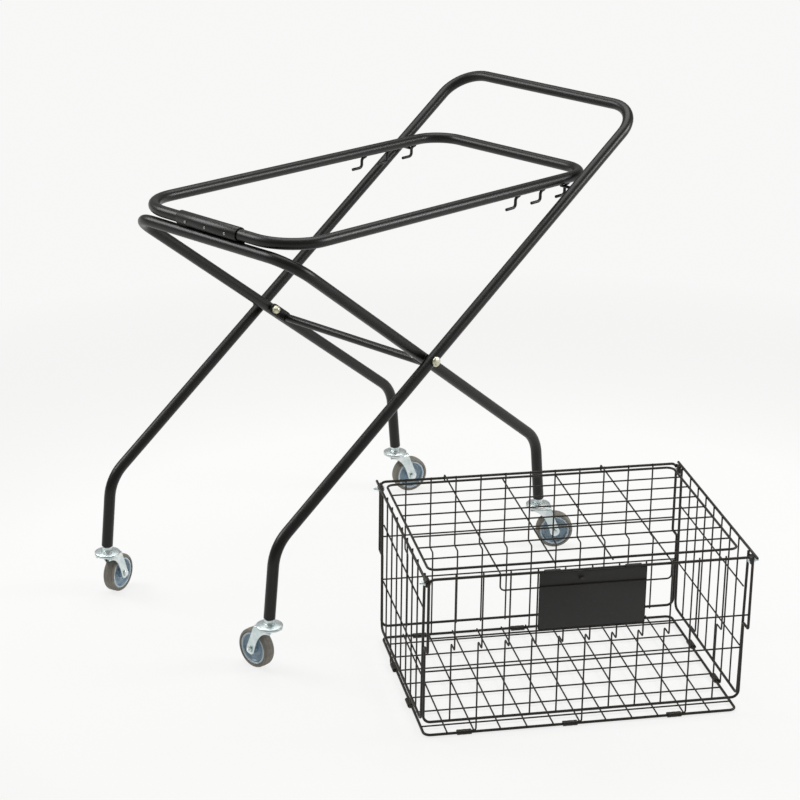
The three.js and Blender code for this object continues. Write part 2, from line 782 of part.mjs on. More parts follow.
// Long side panel: stepped in so that its lower part drops between the cart's rails
function longPanel(sign) {
  const upper = sign * upperHalfDepth;
  const lower = sign * lowerHalfDepth;
  const post = (end) => [
    corner(end * panelHalfLength, upper, topHeight, panelCornerRadius),
    corner(end * panelHalfLength, upper, stepHeight, stepRadius),
    corner(end * panelHalfLength, lower, stepHeight, stepRadius),
    corner(end * panelHalfLength, lower, railHeight, panelFootRadius),
  ];
  const frame = loop([...post(-1), ...post(1).reverse()], frameWire, thickWireSides, alongY);
  const inset = sign * uprightInset;
  const uprights = steps(uprightsEachSide).map((step) => {
    const x = step * uprightSpacing;
    const top = corner(x, upper - inset, topHeight + uprightStub);
    const bends = [
      corner(x, upper - inset, stepHeight, stepRadius),
      corner(x, lower - inset, stepHeight, stepRadius),
    ];
    const hasTail = tailUprights.includes(step);
    const tail = [
      corner(x, lower - inset, baseHeight, stepRadius),
      corner(x - tailReach, lower - inset, baseHeight),
    ];
    const plainEnd = [corner(x, lower - inset, railHeight - frameRadius)];
    return rod([top, ...bends, ...(hasTail ? tail : plainEnd)], thinWire, thinWireSides, alongY);
  });
  const band = (z, y) => rod([
    corner(-panelHalfLength, y, z),
    corner(panelHalfLength, y, z),
  ], thinWire, thinWireSides, alongY);
  const bands = [
    band(upperBandHeight, upper - inset + sign * thinOnThin),
    band(lowerBandHeight, lower - inset + sign * thinOnThin),
  ];
  const lugs = [-1, 1].map((end) => cornerLug(end, sign, panelHalfLength - lugSheet / 2, upper));
  return cut(weld([frame, ...uprights, ...bands, ...lugs]), cornerBores(sign, panelHalfLength));
}

// Lug at a top corner, with the bolt's place a little inside the post
const boltDepth = upperHalfDepth - frameRadius - lugSize / 2;
const boltHeight = topHeight - lugDrop;

function cornerLug(end, sign, fromX, depth) {
  const insideEdge = sign * (boltDepth - lugSize / 2);
  return block(
    Math.min(end * fromX, end * (fromX + lugSheet)),
    Math.max(end * fromX, end * (fromX + lugSheet)),
    Math.min(insideEdge, depth),
    Math.max(insideEdge, depth),
    boltHeight - lugSize / 2,
    topHeight,
  );
}

function cornerBore(end, sign, x) {
  const bore = boreAlongZ(cornerBoltDiameter, -lugSize, lugSize, seatGap);
  bore.rotateY(Math.PI / 2);
  bore.translate(end * x, sign * boltDepth, boltHeight);
  return bore;
}

const cornerBores = (sign, x) => [-1, 1].map((end) => cornerBore(end, sign, x));

// End panel: a post near each long side, closely spaced uprights and a rail that runs past both corners
function endPanel(end) {
  const plane = end * endPlane;
  const frame = rod([
    corner(plane, -endPostTopHalfDepth, topHeight),
    corner(plane, -endPostFootHalfDepth, railHeight, panelFootRadius),
    corner(plane, endPostFootHalfDepth, railHeight, panelFootRadius),
    corner(plane, endPostTopHalfDepth, topHeight),
  ], frameWire, thickWireSides, alongX);
  const railEnd = upperHalfDepth + endRailOverhang;
  const rail = rod([
    corner(end * endRailPlane, -railEnd, topHeight),
    corner(end * endRailPlane, railEnd, topHeight),
  ], frameWire, thickWireSides, alongX);
  const uprights = steps(endUprightsEachSide).map((step) => {
    const y = step * endUprightSpacing;
    const hasTail = tailEndUprights.includes(step);
    const tail = [
      corner(end * endUprightPlane, y, baseHeight, stepRadius),
      corner(end * endUprightPlane, y - Math.sign(step) * tailReach, baseHeight),
    ];
    const plainEnd = [corner(end * endUprightPlane, y, railHeight)];
    return rod([
      corner(end * endUprightPlane, y, topHeight + frameRadius),
      ...(hasTail ? tail : plainEnd),
    ], thinWire, thinWireSides, alongX);
  });
  const bands = [endBandHeight, lowerBandHeight].map((z) => rod([
    corner(end * (endUprightPlane - thinOnThin), -endPostFootHalfDepth, z),
    corner(end * (endUprightPlane - thinOnThin), endPostFootHalfDepth, z),
  ], thinWire, thinWireSides, alongX));
  const lugPlane = panelHalfLength + lugSheet / 2 + seatGap;
  const lugs = [-1, 1].map((sign) => cornerLug(end, sign, lugPlane,
    sign * (boltDepth + lugSize / 2 - seatGap)));
  return weld([frame, rail, ...uprights, ...bands, ...lugs]);
}

function endPanelWithBores(end) {
  return cut(endPanel(end), [-1, 1].map((sign) => cornerBore(end, sign, panelHalfLength)));
}

// Floor of the basket: a loop with depth wires on it and long wires under those
function baseGrid() {
  const frame = loop([
    corner(-baseHalfLength, -baseHalfDepth, baseHeight, baseCornerRadius),
    corner(baseHalfLength, -baseHalfDepth, baseHeight, baseCornerRadius),
    corner(baseHalfLength, baseHalfDepth, baseHeight, baseCornerRadius),
    corner(-baseHalfLength, baseHalfDepth, baseHeight, baseCornerRadius),
  ], frameWire, thickWireSides, alongZ);
  const depthWireHeight = baseHeight + thinOnFrame;
  const depthWires = steps(uprightsEachSide).map((step) => {
    const x = step * uprightSpacing + floorWireShift;
    return rod([
      corner(x, -baseHalfDepth - overrun, depthWireHeight),
      corner(x, baseHalfDepth + overrun, depthWireHeight),
    ], thinWire, thinWireSides, alongZ);
  });
  const longWires = steps(floorWiresEachSide).map((step) => rod([
    corner(-baseHalfLength, step * floorWireSpacing, depthWireHeight - thinOnThin),
    corner(baseHalfLength, step * floorWireSpacing, depthWireHeight - thinOnThin),
  ], thinWire, thinWireSides, alongZ));
  return weld([frame, ...depthWires, ...longWires]);
}

// Crimped sheet clip round a frame wire and the wire tail beside it, lying along X
function clip(side) {
  const innerHalfHeight = frameRadius + seatGap;
  const outerHalfHeight = innerHalfHeight + clipSheet;
  const frameEdge = frameReach + seatGap;
  const tailEdge = frameReach + seatGap + thinWire + seatGap;
  const outline = (wall, top) => {
    const shape = new THREE.Shape();
    shape.moveTo(-side * (frameEdge + wall), -top);
    shape.lineTo(side * (tailEdge + wall), -top);
    shape.lineTo(side * (tailEdge + wall), top - clipSheet);
    shape.lineTo(side * (tailEdge + wall - clipSheet), top);
    shape.lineTo(-side * (frameEdge + wall - clipSheet), top);
    shape.lineTo(-side * (frameEdge + wall), top - clipSheet);
    return shape;
  };
  const settings = { depth: clipLength, bevelEnabled: false };
  const outer = new THREE.ExtrudeGeometry(outline(clipSheet, outerHalfHeight), settings);
  const edges = [-side * frameEdge, side * tailEdge];
  const inner = block(Math.min(...edges), Math.max(...edges), -innerHalfHeight, innerHalfHeight,
    -overrun, clipLength + overrun);
  const body = geometryOf(cut(solid(outer), [inner]));
  body.rotateX(Math.PI / 2);
  body.rotateZ(Math.PI / 2);
  return body;
}

function cornerBolt(end, sign) {
  const head = panelHalfLength - lugSheet / 2 - seatGap;
  const seat = panelHalfLength + lugSheet / 2 + seatGap + lugSheet + seatGap;
  const bolt = geometryOf(weld([
    hexPrism(cornerBoltFlats, cornerNutHeight, head - cornerNutHeight),
    hexPrism(cornerBoltFlats, cornerNutHeight, seat),
    turned([
      [0, head - cornerNutHeight / 2],
      [cornerBoltDiameter / 2, head - cornerNutHeight / 2],
      [cornerBoltDiameter / 2, seat + cornerNutHeight + cornerBoltTip],
      [0, seat + cornerNutHeight + cornerBoltTip],
    ], pinSides),
  ]));
  bolt.rotateY(end * Math.PI / 2);
  bolt.translate(0, sign * boltDepth, boltHeight);
  return bolt;
}

// Lid: a flat grille whose two hooked wires turn on the back rail
const hookRadius = frameReach + lidHookClearance + thinRadius;
const lidWireHeight = topHeight + hookRadius;
const lidLongHeight = lidWireHeight + thinOnThin;
const lidFrameHeight = lidWireHeight + thinRadius + lidFrameWire / 2 - weldDepth;
const plateFront = -upperHalfDepth - frameRadius - seatGap - plateSheet;
const tongueFront = plateFront - seatGap - thinRadius;

function lid() {
  const frame = loop([
    corner(lidLeft, lidFront, lidFrameHeight, lidCornerRadius),
    corner(lidRight, lidFront, lidFrameHeight, lidCornerRadius),
    corner(lidRight, lidBack, lidFrameHeight, lidCornerRadius),
    corner(lidLeft, lidBack, lidFrameHeight, lidCornerRadius),
  ], lidFrameWire, thickWireSides, alongZ);
  const longSpacing = (lidBack - lidFront) / (lidLongWires + 1);
  const longWires = Array.from({ length: lidLongWires }, (_, index) => {
    const y = lidFront + (index + 1) * longSpacing;
    return rod([corner(lidLeft, y, lidLongHeight), corner(lidRight, y, lidLongHeight)],
      thinWire, thinWireSides, alongZ);
  });
  const hook = (x) => [
    corner(x, upperHalfDepth - hookRadius, topHeight - hookRadius),
    corner(x, upperHalfDepth + hookRadius, topHeight - hookRadius, hookRadius),
    corner(x, upperHalfDepth + hookRadius, lidWireHeight, hookRadius),
    corner(x, tongueFront, lidWireHeight, tongueBendRadius),
    corner(x, tongueFront, lidWireHeight - tongueDepth, tongueCornerRadius),
  ];
  const [left, right] = lidHookSides;
  const tongueWire = rod([...hook(left), ...hook(right).reverse()], thinWire, thinWireSides, alongX);
  const innerWires = lidInnerWires.map((x) => rod([
    corner(x, lidFront - overrun, lidWireHeight),
    corner(x, lidBack + overrun, lidWireHeight),
  ], thinWire, thinWireSides, alongX));
  return weld([frame, ...longWires, tongueWire, ...innerWires]);
}

function signPlate() {
  const outline = new THREE.Shape([
    new THREE.Vector2(-plateHalfWidth, plateBottom),
    new THREE.Vector2(plateHalfWidth, plateBottom),
    new THREE.Vector2(plateHalfWidth, topHeight),
    new THREE.Vector2(-plateHalfWidth, topHeight),
  ]);
  const slot = new THREE.Path();
  slot.absellipse(slotSide, topHeight - slotDrop, slotWidth / 2, slotHeight / 2, 0, 2 * Math.PI, true);
  outline.holes.push(slot);
  const face = new THREE.ExtrudeGeometry(outline,
    { depth: plateSheet, bevelEnabled: false, curveSegments: thinWireSides });
  face.rotateX(Math.PI / 2);
  face.translate(0, plateFront + plateSheet, 0);
  const overRail = topHeight + frameReach + seatGap;
  const behindRail = -upperHalfDepth + frameRadius + seatGap;
  const tabs = [-1, 1].flatMap((side) => {
    const from = side * plateTabSide - plateTabWidth / 2;
    const to = side * plateTabSide + plateTabWidth / 2;
    return [
      block(from, to, plateFront, plateFront + plateSheet, topHeight - overrun, overRail + plateSheet),
      block(from, to, plateFront, behindRail + plateSheet, overRail, overRail + plateSheet),
      block(from, to, behindRail, behindRail + plateSheet, topHeight - plateTabDrop, overRail + plateSheet),
    ];
  });
  return weld([face, ...tabs]);
}

function basket() {
  const group = new THREE.Group();
  group.add(
    part('front_panel', longPanel(-1), wirePaint),
    part('back_panel', longPanel(1), wirePaint),
    part('left_panel', endPanelWithBores(-1), wirePaint),
    part('right_panel', endPanelWithBores(1), wirePaint),
    part('base_grid', baseGrid(), wirePaint),
    part('lid', lid(), wirePaint),
    part('sign_plate', signPlate(), platePaint),
  );
  for (const end of [-1, 1]) {
    for (const { name, sign } of sides) {
      const endName = end < 0 ? 'left' : 'right';
      const sideName = name === 'near' ? 'front' : 'back';
      group.add(part(`corner_bolt_${sideName}_${endName}`, cornerBolt(end, sign), zinc));
    }
  }
  for (const { name, sign } of sides) {
    tailUprights.forEach((step, index) => {
      const body = clip(-sign);
      body.translate(step * uprightSpacing - tailReach, sign * baseHalfDepth, baseHeight);
      const sideName = name === 'near' ? 'front' : 'back';
      group.add(part(`clip_${sideName}_${index + 1}`, body, paint));
    });
  }
  for (const end of [-1, 1]) {
    tailEndUprights.forEach((step, index) => {
      const body = clip(-end);
      body.rotateZ(Math.PI / 2);
      const tailSide = Math.sign(step);
      const start = step * endUprightSpacing - tailSide * (tailSide > 0 ? tailReach : clipOffset);
      body.translate(end * baseHalfLength, start, baseHeight);
      group.add(part(`clip_${end < 0 ? 'left' : 'right'}_${index + 1}`, body, paint));
    });
  }
  group.position.set(basketPlace.x, basketPlace.y, 0);
  group.rotation.z = basketTurn;
  return group;
}

const ballCart = new THREE.Group();
ballCart.add(
  part('handle_frame', handleFrame(), paint),
  part('support_frame', supportFrame(), paint),
  part('cross_bar', crossBar(), paint),
  part('hinge_sleeve', hingeSleeve(), paint),
  part('top_ring', topRing(), paint),
);
for (const { name, sign } of sides) {
  ballCart.add(
    part(`pivot_bolt_${name}`, pivotBolt(sign), zinc),
    part(`pivot_nut_${name}`, capNut(sign), zinc),
    part(`pivot_spacer_${name}`, pivotSpacer(sign), nylon),
  );
}
ballCart.add(
  caster('caster_handle_near', handleFootX, -handleHalfWidth, nearHandleTrail),
  caster('caster_handle_far', handleFootX, handleHalfWidth, farHandleTrail),
  caster('caster_support_near', supportFootX, -supportHalfWidth, nearSupportTrail),
  caster('caster_support_far', supportFootX, supportHalfWidth, farSupportTrail),
  basket(),
);

// The origin is the middle of the cart's box, on the floor
ballCart.updateMatrixWorld(true);
const outerBox = new THREE.Box3().setFromObject(ballCart, true);
const middle = outerBox.getCenter(vec(0, 0, 0));
ballCart.position.set(-middle.x, -middle.y, -outerBox.min.z);

export default ballCart;
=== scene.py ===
"""Folding ball cart with a lift-off basket of welded wire, dressed over its packed solids."""

import json
import math

import bpy
from mathutils import Matrix, Vector


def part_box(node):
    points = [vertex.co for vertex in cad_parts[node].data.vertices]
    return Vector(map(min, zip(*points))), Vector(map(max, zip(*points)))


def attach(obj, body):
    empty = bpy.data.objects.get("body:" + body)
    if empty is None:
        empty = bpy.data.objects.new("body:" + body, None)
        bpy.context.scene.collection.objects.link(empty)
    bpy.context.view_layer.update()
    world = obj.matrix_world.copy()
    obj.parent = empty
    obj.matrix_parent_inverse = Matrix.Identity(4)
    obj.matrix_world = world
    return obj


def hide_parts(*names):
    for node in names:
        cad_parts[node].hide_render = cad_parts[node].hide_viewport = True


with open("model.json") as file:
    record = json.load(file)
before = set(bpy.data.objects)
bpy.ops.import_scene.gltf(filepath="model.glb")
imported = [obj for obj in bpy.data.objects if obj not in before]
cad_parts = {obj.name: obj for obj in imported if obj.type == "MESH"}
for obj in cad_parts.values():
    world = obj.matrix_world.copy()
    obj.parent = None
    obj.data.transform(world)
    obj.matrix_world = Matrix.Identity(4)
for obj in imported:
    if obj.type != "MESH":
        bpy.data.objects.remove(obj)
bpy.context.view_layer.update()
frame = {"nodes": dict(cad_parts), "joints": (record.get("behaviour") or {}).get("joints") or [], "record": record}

bl_info = {
    "name": "Folding ball cart",
    "version": (1, 0, 0),
    "blender": (4, 5, 0),
    "location": "View3D > Sidebar > Ball cart",
    "description": "Builds a folding tube cart on casters and its basket of welded wire",
    "category": "Object",
}

# Facets and general clearances
TUBE_SIDES = 32
WIRE_SIDES = 14
THIN_SIDES = 10
ROUND_SIDES = 36
SMALL_SIDES = 20
THREAD_SIDES = 18
WHEEL_SIDES = 48
TYRE_SIDES = 64
OVAL_SIDES = 24
BEND_STEP = math.radians(7)
WIRE_BEND_STEP = math.radians(18)
DOME_END = math.radians(86)
DOME_STEPS = 6
MERGE = 0.00004
SMOOTH_ANGLE = math.radians(38)
SEAT_GAP = 0.0003
SHEET_EDGE = 0.0002
FINE_EDGE = 0.0004

# Sides of the tubes and wires in the packed model, whose corners stand out past the true round
PACKED_TUBE_SIDES = 12
PACKED_WIRE_SIDES = 6

# Joints of the packed model, by name
JOINTS = {joint["name"]: joint for joint in frame["joints"]}
PIVOT = Vector(JOINTS["frame_fold"]["pos_m"])
RING_HINGE = Vector(JOINTS["ring_hinge"]["pos_m"])
LID_HINGE = Vector(JOINTS["lid_hinge"]["pos_m"])
FEET = ("handle_near", "handle_far", "support_near", "support_far")

# Side profiles of the two crossed frames and the ring, along the cart from its middle and up from the floor
HINGE_OFFSET_X = -0.318
HANDLE_FOOT_X = -0.394
HANDLE_BEND = (-0.380, 0.2445)
HANDLE_TOP = (0.628, 0.8945)
HANDLE_HALF_WIDTH = 0.231
HANDLE_TOP_HALF_WIDTH = 0.243
HANDLE_CORNER_RADIUS = 0.070
SUPPORT_FOOT_X = 0.394
SUPPORT_BEND = (0.3785, 0.244)
SUPPORT_TOP = (-0.3205, 0.7665)
SUPPORT_HALF_WIDTH = 0.205
SUPPORT_TOP_HALF_WIDTH = 0.218
SUPPORT_CORNER_RADIUS = 0.060
LEG_BEND_RADIUS = 0.075
LEG_END = 0.108
RING_END_X = 0.5175
RING_END_Z = 0.780
RING_HALF_WIDTH = 0.209
RING_CORNER_RADIUS = 0.062
RING_HINGE_CORNER_RADIUS = 0.086
CART_PLACE = Vector((RING_HINGE.x - HINGE_OFFSET_X, RING_HINGE.y, 0))

# Cross bar, the handle's pins, the hinge strap with its rivets, and the pivots
CROSS_BAR_REACH = 0.042
CROSS_TAB_SHEET = 0.003
CROSS_TAB_WIDTH = 0.022
PIN_REACH = 0.026
PIN_END_HEIGHT = 0.0008
PIN_END_SINK = 0.001
SLEEVE_EYE_TURN = math.radians(240)
SLEEVE_CURL_TURN = math.radians(72)
SLEEVE_STEPS = 20
RIVET_LEAN = math.radians(-95)
RIVET_RIM = 0.0006
RIVET_HEIGHT = 0.0018
PIVOT_HEAD_EDGE = 0.0005
PIVOT_HEAD_RIM = 0.0014
PIVOT_HEAD_HEIGHT = 0.006
PIVOT_SEAT_SHARE = 0.94
PIVOT_SHANK_SHARE = 0.4
CAP_NUT_HEIGHT_SHARE = 7 / 13
CAP_NUT_DOME_SHARE = 0.44
SPACER_BORE_SHARE = 0.55

# Hooks under the ring's rails. The one nearest the push bar hangs over the handle's pin
HOOK_DROP = 0.0215
HOOK_FOOT = 0.027
HOOK_TAIL = 0.012
HOOK_BEND_RADIUS = 0.007
HOOK_SPACING = 0.0742
HOOK_COUNT = 3
HOOK_WELD_STRETCH = (2.2, 1.3, 0.6)

# Swivel casters, each standing at the origin with its wheel towards +X
CASTER_TRAIL = 0.035
CROWN_BOTTOM = 0.0865
FORK_SHEET = 0.0025
CHEEK_INNER = 0.014
FORK_FRONT = -0.017
FORK_REAR = 0.027
FORK_FLANGE = 0.003
FORK_BEND = 0.003
FORK_SWEEP = 0.014
FORK_END_RADIUS = 0.010
FORK_END_ANGLE = math.radians(18)
RACE_RADIUS = 0.025
RACE_HEIGHT = 0.004
RACE_EDGE = 0.0010
RACE_FOOT_SHARE = 0.70
RACE_BORE_SHARE = 0.52
CAP_EDGE = 0.0012
CAP_SLOPE_SHARE = 0.72
CAP_TOP_SHARE = 0.62
KINGPIN_SHARE = 0.47
KINGPIN_HEAD_RADIUS = 0.0085
KINGPIN_HEAD_TIP_RADIUS = 0.0068
KINGPIN_HEAD_HEIGHT = 0.0024
KINGPIN_HEAD_EDGE = 0.0006
STEM_NUT_TOP = 0.1063
STEM_NUT_CHAMFER = 0.0005
STEM_TOP = 0.148
WHEEL_WEB = 0.004
WHEEL_EDGE = 0.0006
WHEEL_GROOVE = 0.0008
WHEEL_GROOVE_SHARES = (0.62, 0.64, 0.70, 0.72)
WHEEL_DISH_SHARE = 0.92
RIM_HALF_WIDTH = 0.0105
TYRE_SHOULDER = 0.0055
TYRE_SHOULDER_STEPS = 6
TYRE_SEAM = 0.00025
TYRE_LIP = 0.0010
TYRE_LIP_SINK = 0.0002
AXLE_HEAD_HEIGHT = 0.004
AXLE_TIP = 0.002
AXLE_TIP_SHARE = 0.8

# Basket, in its own axes: x along its length, y in depth
TOP_HEIGHT = 0.314
STEP_HEIGHT = 0.176
RAIL_HEIGHT = 0.029
BASE_HEIGHT = 0.004
UPPER_HALF_DEPTH = 0.2215
LOWER_HALF_DEPTH = 0.195
PANEL_HALF_LENGTH = 0.288
PANEL_CORNER_RADIUS = 0.010
PANEL_FOOT_RADIUS = 0.013
STEP_RADIUS = 0.004
UPRIGHT_SPACING = 0.048
UPRIGHTS_EACH_SIDE = 5
UPRIGHT_STUB = 0.004
UPPER_BAND_HEIGHT = 0.203
LOWER_BAND_HEIGHT = 0.127
END_BAND_HEIGHT = 0.242
END_POST_TOP_HALF_DEPTH = 0.193
END_POST_FOOT_HALF_DEPTH = 0.184
END_UPRIGHT_SPACING = 0.0465
END_UPRIGHTS_EACH_SIDE = 3
END_RAIL_OVERHANG = 0.007
END_RAIL_ROUND = 0.0008
WIRE_OVERHANG = 0.001
BASE_CORNER_RADIUS = 0.012
FLOOR_WIRE_SHIFT = -0.0055
FLOOR_WIRE_SPACING = 0.055
FLOOR_WIRES_EACH_SIDE = 3
TAIL_UPRIGHTS = (-4, 0, 4)
TAIL_END_UPRIGHTS = (-2, 2)
CLIP_LENGTH = 0.026
CLIP_OFFSET = 0.009
CLIP_SHEET = 0.0012
LUG_SIZE = 0.014
LUG_SHEET = 0.002
LUG_DROP = 0.009
LUG_CORNER = 0.0025
CORNER_NUT_HEIGHT = 0.004
CORNER_BOLT_TIP = 0.007
THREAD_PITCH = 0.0008
THREAD_ROOT_SHARE = 0.86
THREAD_START_SHARE = 0.9
THREAD_TIP_SHARE = 0.7
LID_LEFT = -0.284
LID_RIGHT = 0.268
LID_FRONT = -0.200
LID_BACK = 0.184
LID_CORNER_RADIUS = 0.014
LID_LONG_WIRES = 7
LID_HOOK_SIDES = (-0.165, 0.139)
LID_INNER_WIRES = (-0.062, 0.041)
LID_HOOK_CLEARANCE = 0.0007
TONGUE_DEPTH = 0.031
TONGUE_CORNER_RADIUS = 0.008
TONGUE_BEND_RADIUS = 0.004
PLATE_HALF_WIDTH = 0.0955
PLATE_BOTTOM = 0.207
PLATE_CORNER = 0.002
PLATE_TAB_WIDTH = 0.028
PLATE_TAB_SIDE = 0.072
PLATE_TAB_DROP = 0.006
SLOT_WIDTH = 0.009
SLOT_HEIGHT = 0.003
SLOT_SIDE = -0.022
SLOT_DROP = 0.013
SLOT_CUT_DEPTH = 0.02

# Soft lights: where each stands and how wide it is
LIGHTS = {
    "right": ((2.0, -2.1, 1.9), 1.1),
    "top": ((0.8, 0.9, 4.0), 3.2),
    "left": ((-1.4, 2.15, 2.4), 1.3),
}
LIGHT_AIM = Vector((0, 0, 0.5))
SKY_COLOUR = (1.0, 0.995, 0.985, 1)

# The camera's sensor, in millimetres
SENSOR_WIDTH = 36

# Near the object, as far as FLOOR_NEAR and fading out by FLOOR_FAR, the floor's colour is painted nearly black so
# that it throws little light up at the object; the camera and mirrors see a share of that dark floor there, which
# paints a darker shade round the object on the pale floor
FLOOR_SIZE = 60
FLOOR_NEAR = 1.0
FLOOR_FAR = 2.25
FLOOR_SPAN = 5.0
FLOOR_PAINTED_SHADE = 0.05
SHADOW_AND_PAINTED_SHADE_SHARE = 0.15


def number(name, description, default, **kind):
    return bpy.props.FloatProperty(name=name, description=description, default=default, **kind)


def length(name, description, default):
    return number(name, description, default, min=0, unit="LENGTH", precision=5)


def angle(name, description, degrees):
    return number(name, description, math.radians(degrees), subtype="ANGLE")


def power(name, description, default):
    return number(name, description, default, min=0, unit="POWER")


def colour(name, description, default):
    return bpy.props.FloatVectorProperty(name=name, description=description, default=default, min=0, max=1,
                                         size=3, subtype="COLOR")


class CartSizes(bpy.types.PropertyGroup):
    """Tube and fastener sizes of the folding cart"""

    tube: length("Tube", "Outer diameter of the frame tubes", 0.022)
    tube_wall: length("Tube wall", "Wall seen at the open tube ends", 0.0015)
    cross_bar: length("Cross bar", "Diameter of the bar between the pivots", 0.016)
    hook_rod: length("Hook rod", "Diameter of the hooks and pins", 0.006)
    weld: length("Weld bead", "Radius of a weld bead's section", 0.0016)
    sleeve_wall: length("Sleeve wall", "Sheet thickness of the hinge sleeve", 0.002)
    rivet: length("Rivet head", "Diameter of the sleeve's rivet heads", 0.0055)
    rivet_spacing: length("Rivet spacing", "Distance between the rivets", 0.053)


class CasterSizes(bpy.types.PropertyGroup):
    """Wheel and fork sizes of the swivel casters"""

    wheel: length("Wheel", "Outer diameter over the tyre", 0.076)
    width: length("Wheel width", "Width of the tyre", 0.024)
    rim: length("Rim radius", "Radius where the tyre meets the plastic", 0.031)
    disc: length("Disc radius", "Radius of the sunk disc", 0.027)
    hub: length("Hub radius", "Radius of the hub", 0.009)
    stem: length("Stem", "Diameter of the threaded stem", 0.010)
    stem_nut: length("Stem nut", "Width across the flats of the stem's hexagon", 0.017)
    axle: length("Axle", "Diameter of the axle bolt", 0.006)
    axle_head: length("Axle head", "Width across the flats of the axle's hexagons", 0.011)


class BasketSizes(bpy.types.PropertyGroup):
    """Wire and sheet sizes of the basket"""

    frame_wire: length("Frame wire", "Diameter of the wires round each panel", 0.005)
    thin_wire: length("Thin wire", "Diameter of the uprights and bands", 0.003)
    lid_wire: length("Lid frame wire", "Diameter of the wire round the lid", 0.0045)
    weld_depth: length("Weld depth", "How far two welded wires sink into each other", 0.00045)
    plate_sheet: length("Plate sheet", "Thickness of the sign plate", 0.0015)
    corner_bolt: length("Corner bolt", "Diameter of the corner bolts", 0.005)
    corner_flats: length("Corner nut", "Width across the flats of the corner nuts", 0.009)


class FinishColours(bpy.types.PropertyGroup):
    """Colours of the finishes"""

    frame_paint: colour("Frame coat", "Black satin coat on the tubes", (0.0075, 0.0068, 0.0060))
    wire_paint: colour("Wire coat", "Black satin coat on the wires", (0.0180, 0.0155, 0.0105))
    plate_paint: colour("Plate coat", "Charcoal coat on the sign plate", (0.026, 0.025, 0.024))
    zinc: colour("Zinc", "Bright zinc plate", (0.80, 0.84, 0.83))
    pivot_zinc: colour("Pivot zinc", "Yellowish zinc plate of the pivots", (0.70, 0.68, 0.55))
    rivet_steel: colour("Rivet steel", "Dull steel of the strap's rivets", (0.34, 0.33, 0.31))
    spacer_nylon: colour("Spacer nylon", "Black nylon of the spacers", (0.012, 0.012, 0.012))
    wheel_plastic: colour("Wheel centre", "Blue-grey moulded plastic", (0.215, 0.300, 0.365))
    rim_plastic: colour("Wheel rim", "Pale moulded ring round the wheel's centre", (0.41, 0.49, 0.54))
    tyre: colour("Tyre", "Grey-brown rubber", (0.165, 0.154, 0.130))
    floor: colour("Floor", "Pale studio floor", (0.90, 0.90, 0.893))


class StageSettings(bpy.types.PropertyGroup):
    """Camera and light of the studio"""

    lens: number("Lens", "Focal length in millimetres", 106.03, unit="CAMERA")
    yaw: angle("Yaw", "Viewing direction, from +Y towards +X", 46.61)
    pitch: angle("Pitch", "How far the camera looks down", 20.343)
    roll: angle("Roll", "Turn of the camera about its view", 0.782)
    distance: length("Distance", "From the camera to its target", 4.5647)
    target: bpy.props.FloatVectorProperty(name="Target", description="Camera target, measured from the pivot",
                                          default=(0.00965, -0.1458, -0.10686), subtype="TRANSLATION")
    background: number("Background", "Brightness of the pale floor", 0.935)
    right_power: power("Right light", "Power of the light on the right", 68)
    top_power: power("Top light", "Power of the overhead light", 100)
    left_power: power("Left light", "Power of the light on the left, a little behind the cart", 48)
    sky: number("Sky", "Strength of the even light", 0.30)


def deselect():
    if bpy.context.object and bpy.context.object.mode != "OBJECT":
        bpy.ops.object.mode_set(mode="OBJECT")
    bpy.ops.object.select_all(action="DESELECT")


def select(pieces):
    """Only these pieces are selected, and the first is active."""
    deselect()
    for piece in pieces:
        piece.select_set(True)
    bpy.context.view_layer.objects.active = pieces[0]


def edit(piece):
    """The piece alone in edit mode, selected all over."""
    select([piece])
    bpy.ops.object.mode_set(mode="EDIT")
    bpy.ops.mesh.select_all(action="SELECT")


def choose(piece, parts, chosen):
    """The piece in edit mode, with only the vertices or edges selected that pass the test."""
    edit(piece)
    bpy.ops.mesh.select_all(action="DESELECT")
    bpy.ops.object.mode_set(mode="OBJECT")
    for part in getattr(piece.data, parts):
        part.select = chosen(part)
    bpy.ops.object.mode_set(mode="EDIT")


def fix_place(piece):
    """The piece's place goes into its mesh."""
    select([piece])
    bpy.ops.object.transform_apply(location=True, rotation=True, scale=True)
    return piece


def placed(piece, location=(0, 0, 0), rotation=(0, 0, 0)):
    piece.location = location
    piece.rotation_euler = rotation
    return fix_place(piece)


def joined(pieces):
    select(pieces)
    bpy.ops.object.join()
    return bpy.context.object


def copied(piece, location=(0, 0, 0), rotation=(0, 0, 0)):
    """A copy of the piece with its own mesh, turned about the origin and then moved."""
    select([piece])
    bpy.ops.object.duplicate()
    return placed(bpy.context.object, location, rotation)


def row_of(piece, offsets):
    """The piece at each of these offsets, as one piece."""
    copies = [copied(piece, offset) for offset in offsets]
    bpy.data.objects.remove(piece)
    return joined(copies)


def modified(piece, kind, **settings):
    select([piece])
    modifier = piece.modifiers.new(kind.lower(), kind)
    for name, value in settings.items():
        setattr(modifier, name, value)
    bpy.ops.object.modifier_apply(modifier=modifier.name)
    return piece


def rounded(piece, width, segments=2, angle=35):
    return modified(piece, "BEVEL", width=width, segments=segments, limit_method="ANGLE",
                    angle_limit=math.radians(angle))


def extrude(step):
    bpy.ops.mesh.extrude_region_move(TRANSFORM_OT_translate={"value": step})


def outward():
    bpy.ops.mesh.select_all(action="SELECT")
    bpy.ops.mesh.normals_make_consistent(inside=False)
    bpy.ops.object.mode_set(mode="OBJECT")


class Bend:
    """A bend of a rod at one corner: where it starts and ends, its centre, axis and turn."""

    def __init__(self, before, here, after, radius):
        incoming = (here - before).normalized()
        outgoing = (after - here).normalized()
        self.turn = incoming.angle(outgoing)
        self.axis = incoming.cross(outgoing).normalized()
        reach = radius * math.tan(self.turn / 2)
        self.start = here - incoming * reach
        self.end = here + outgoing * reach
        self.centre = self.start + self.axis.cross(incoming) * radius


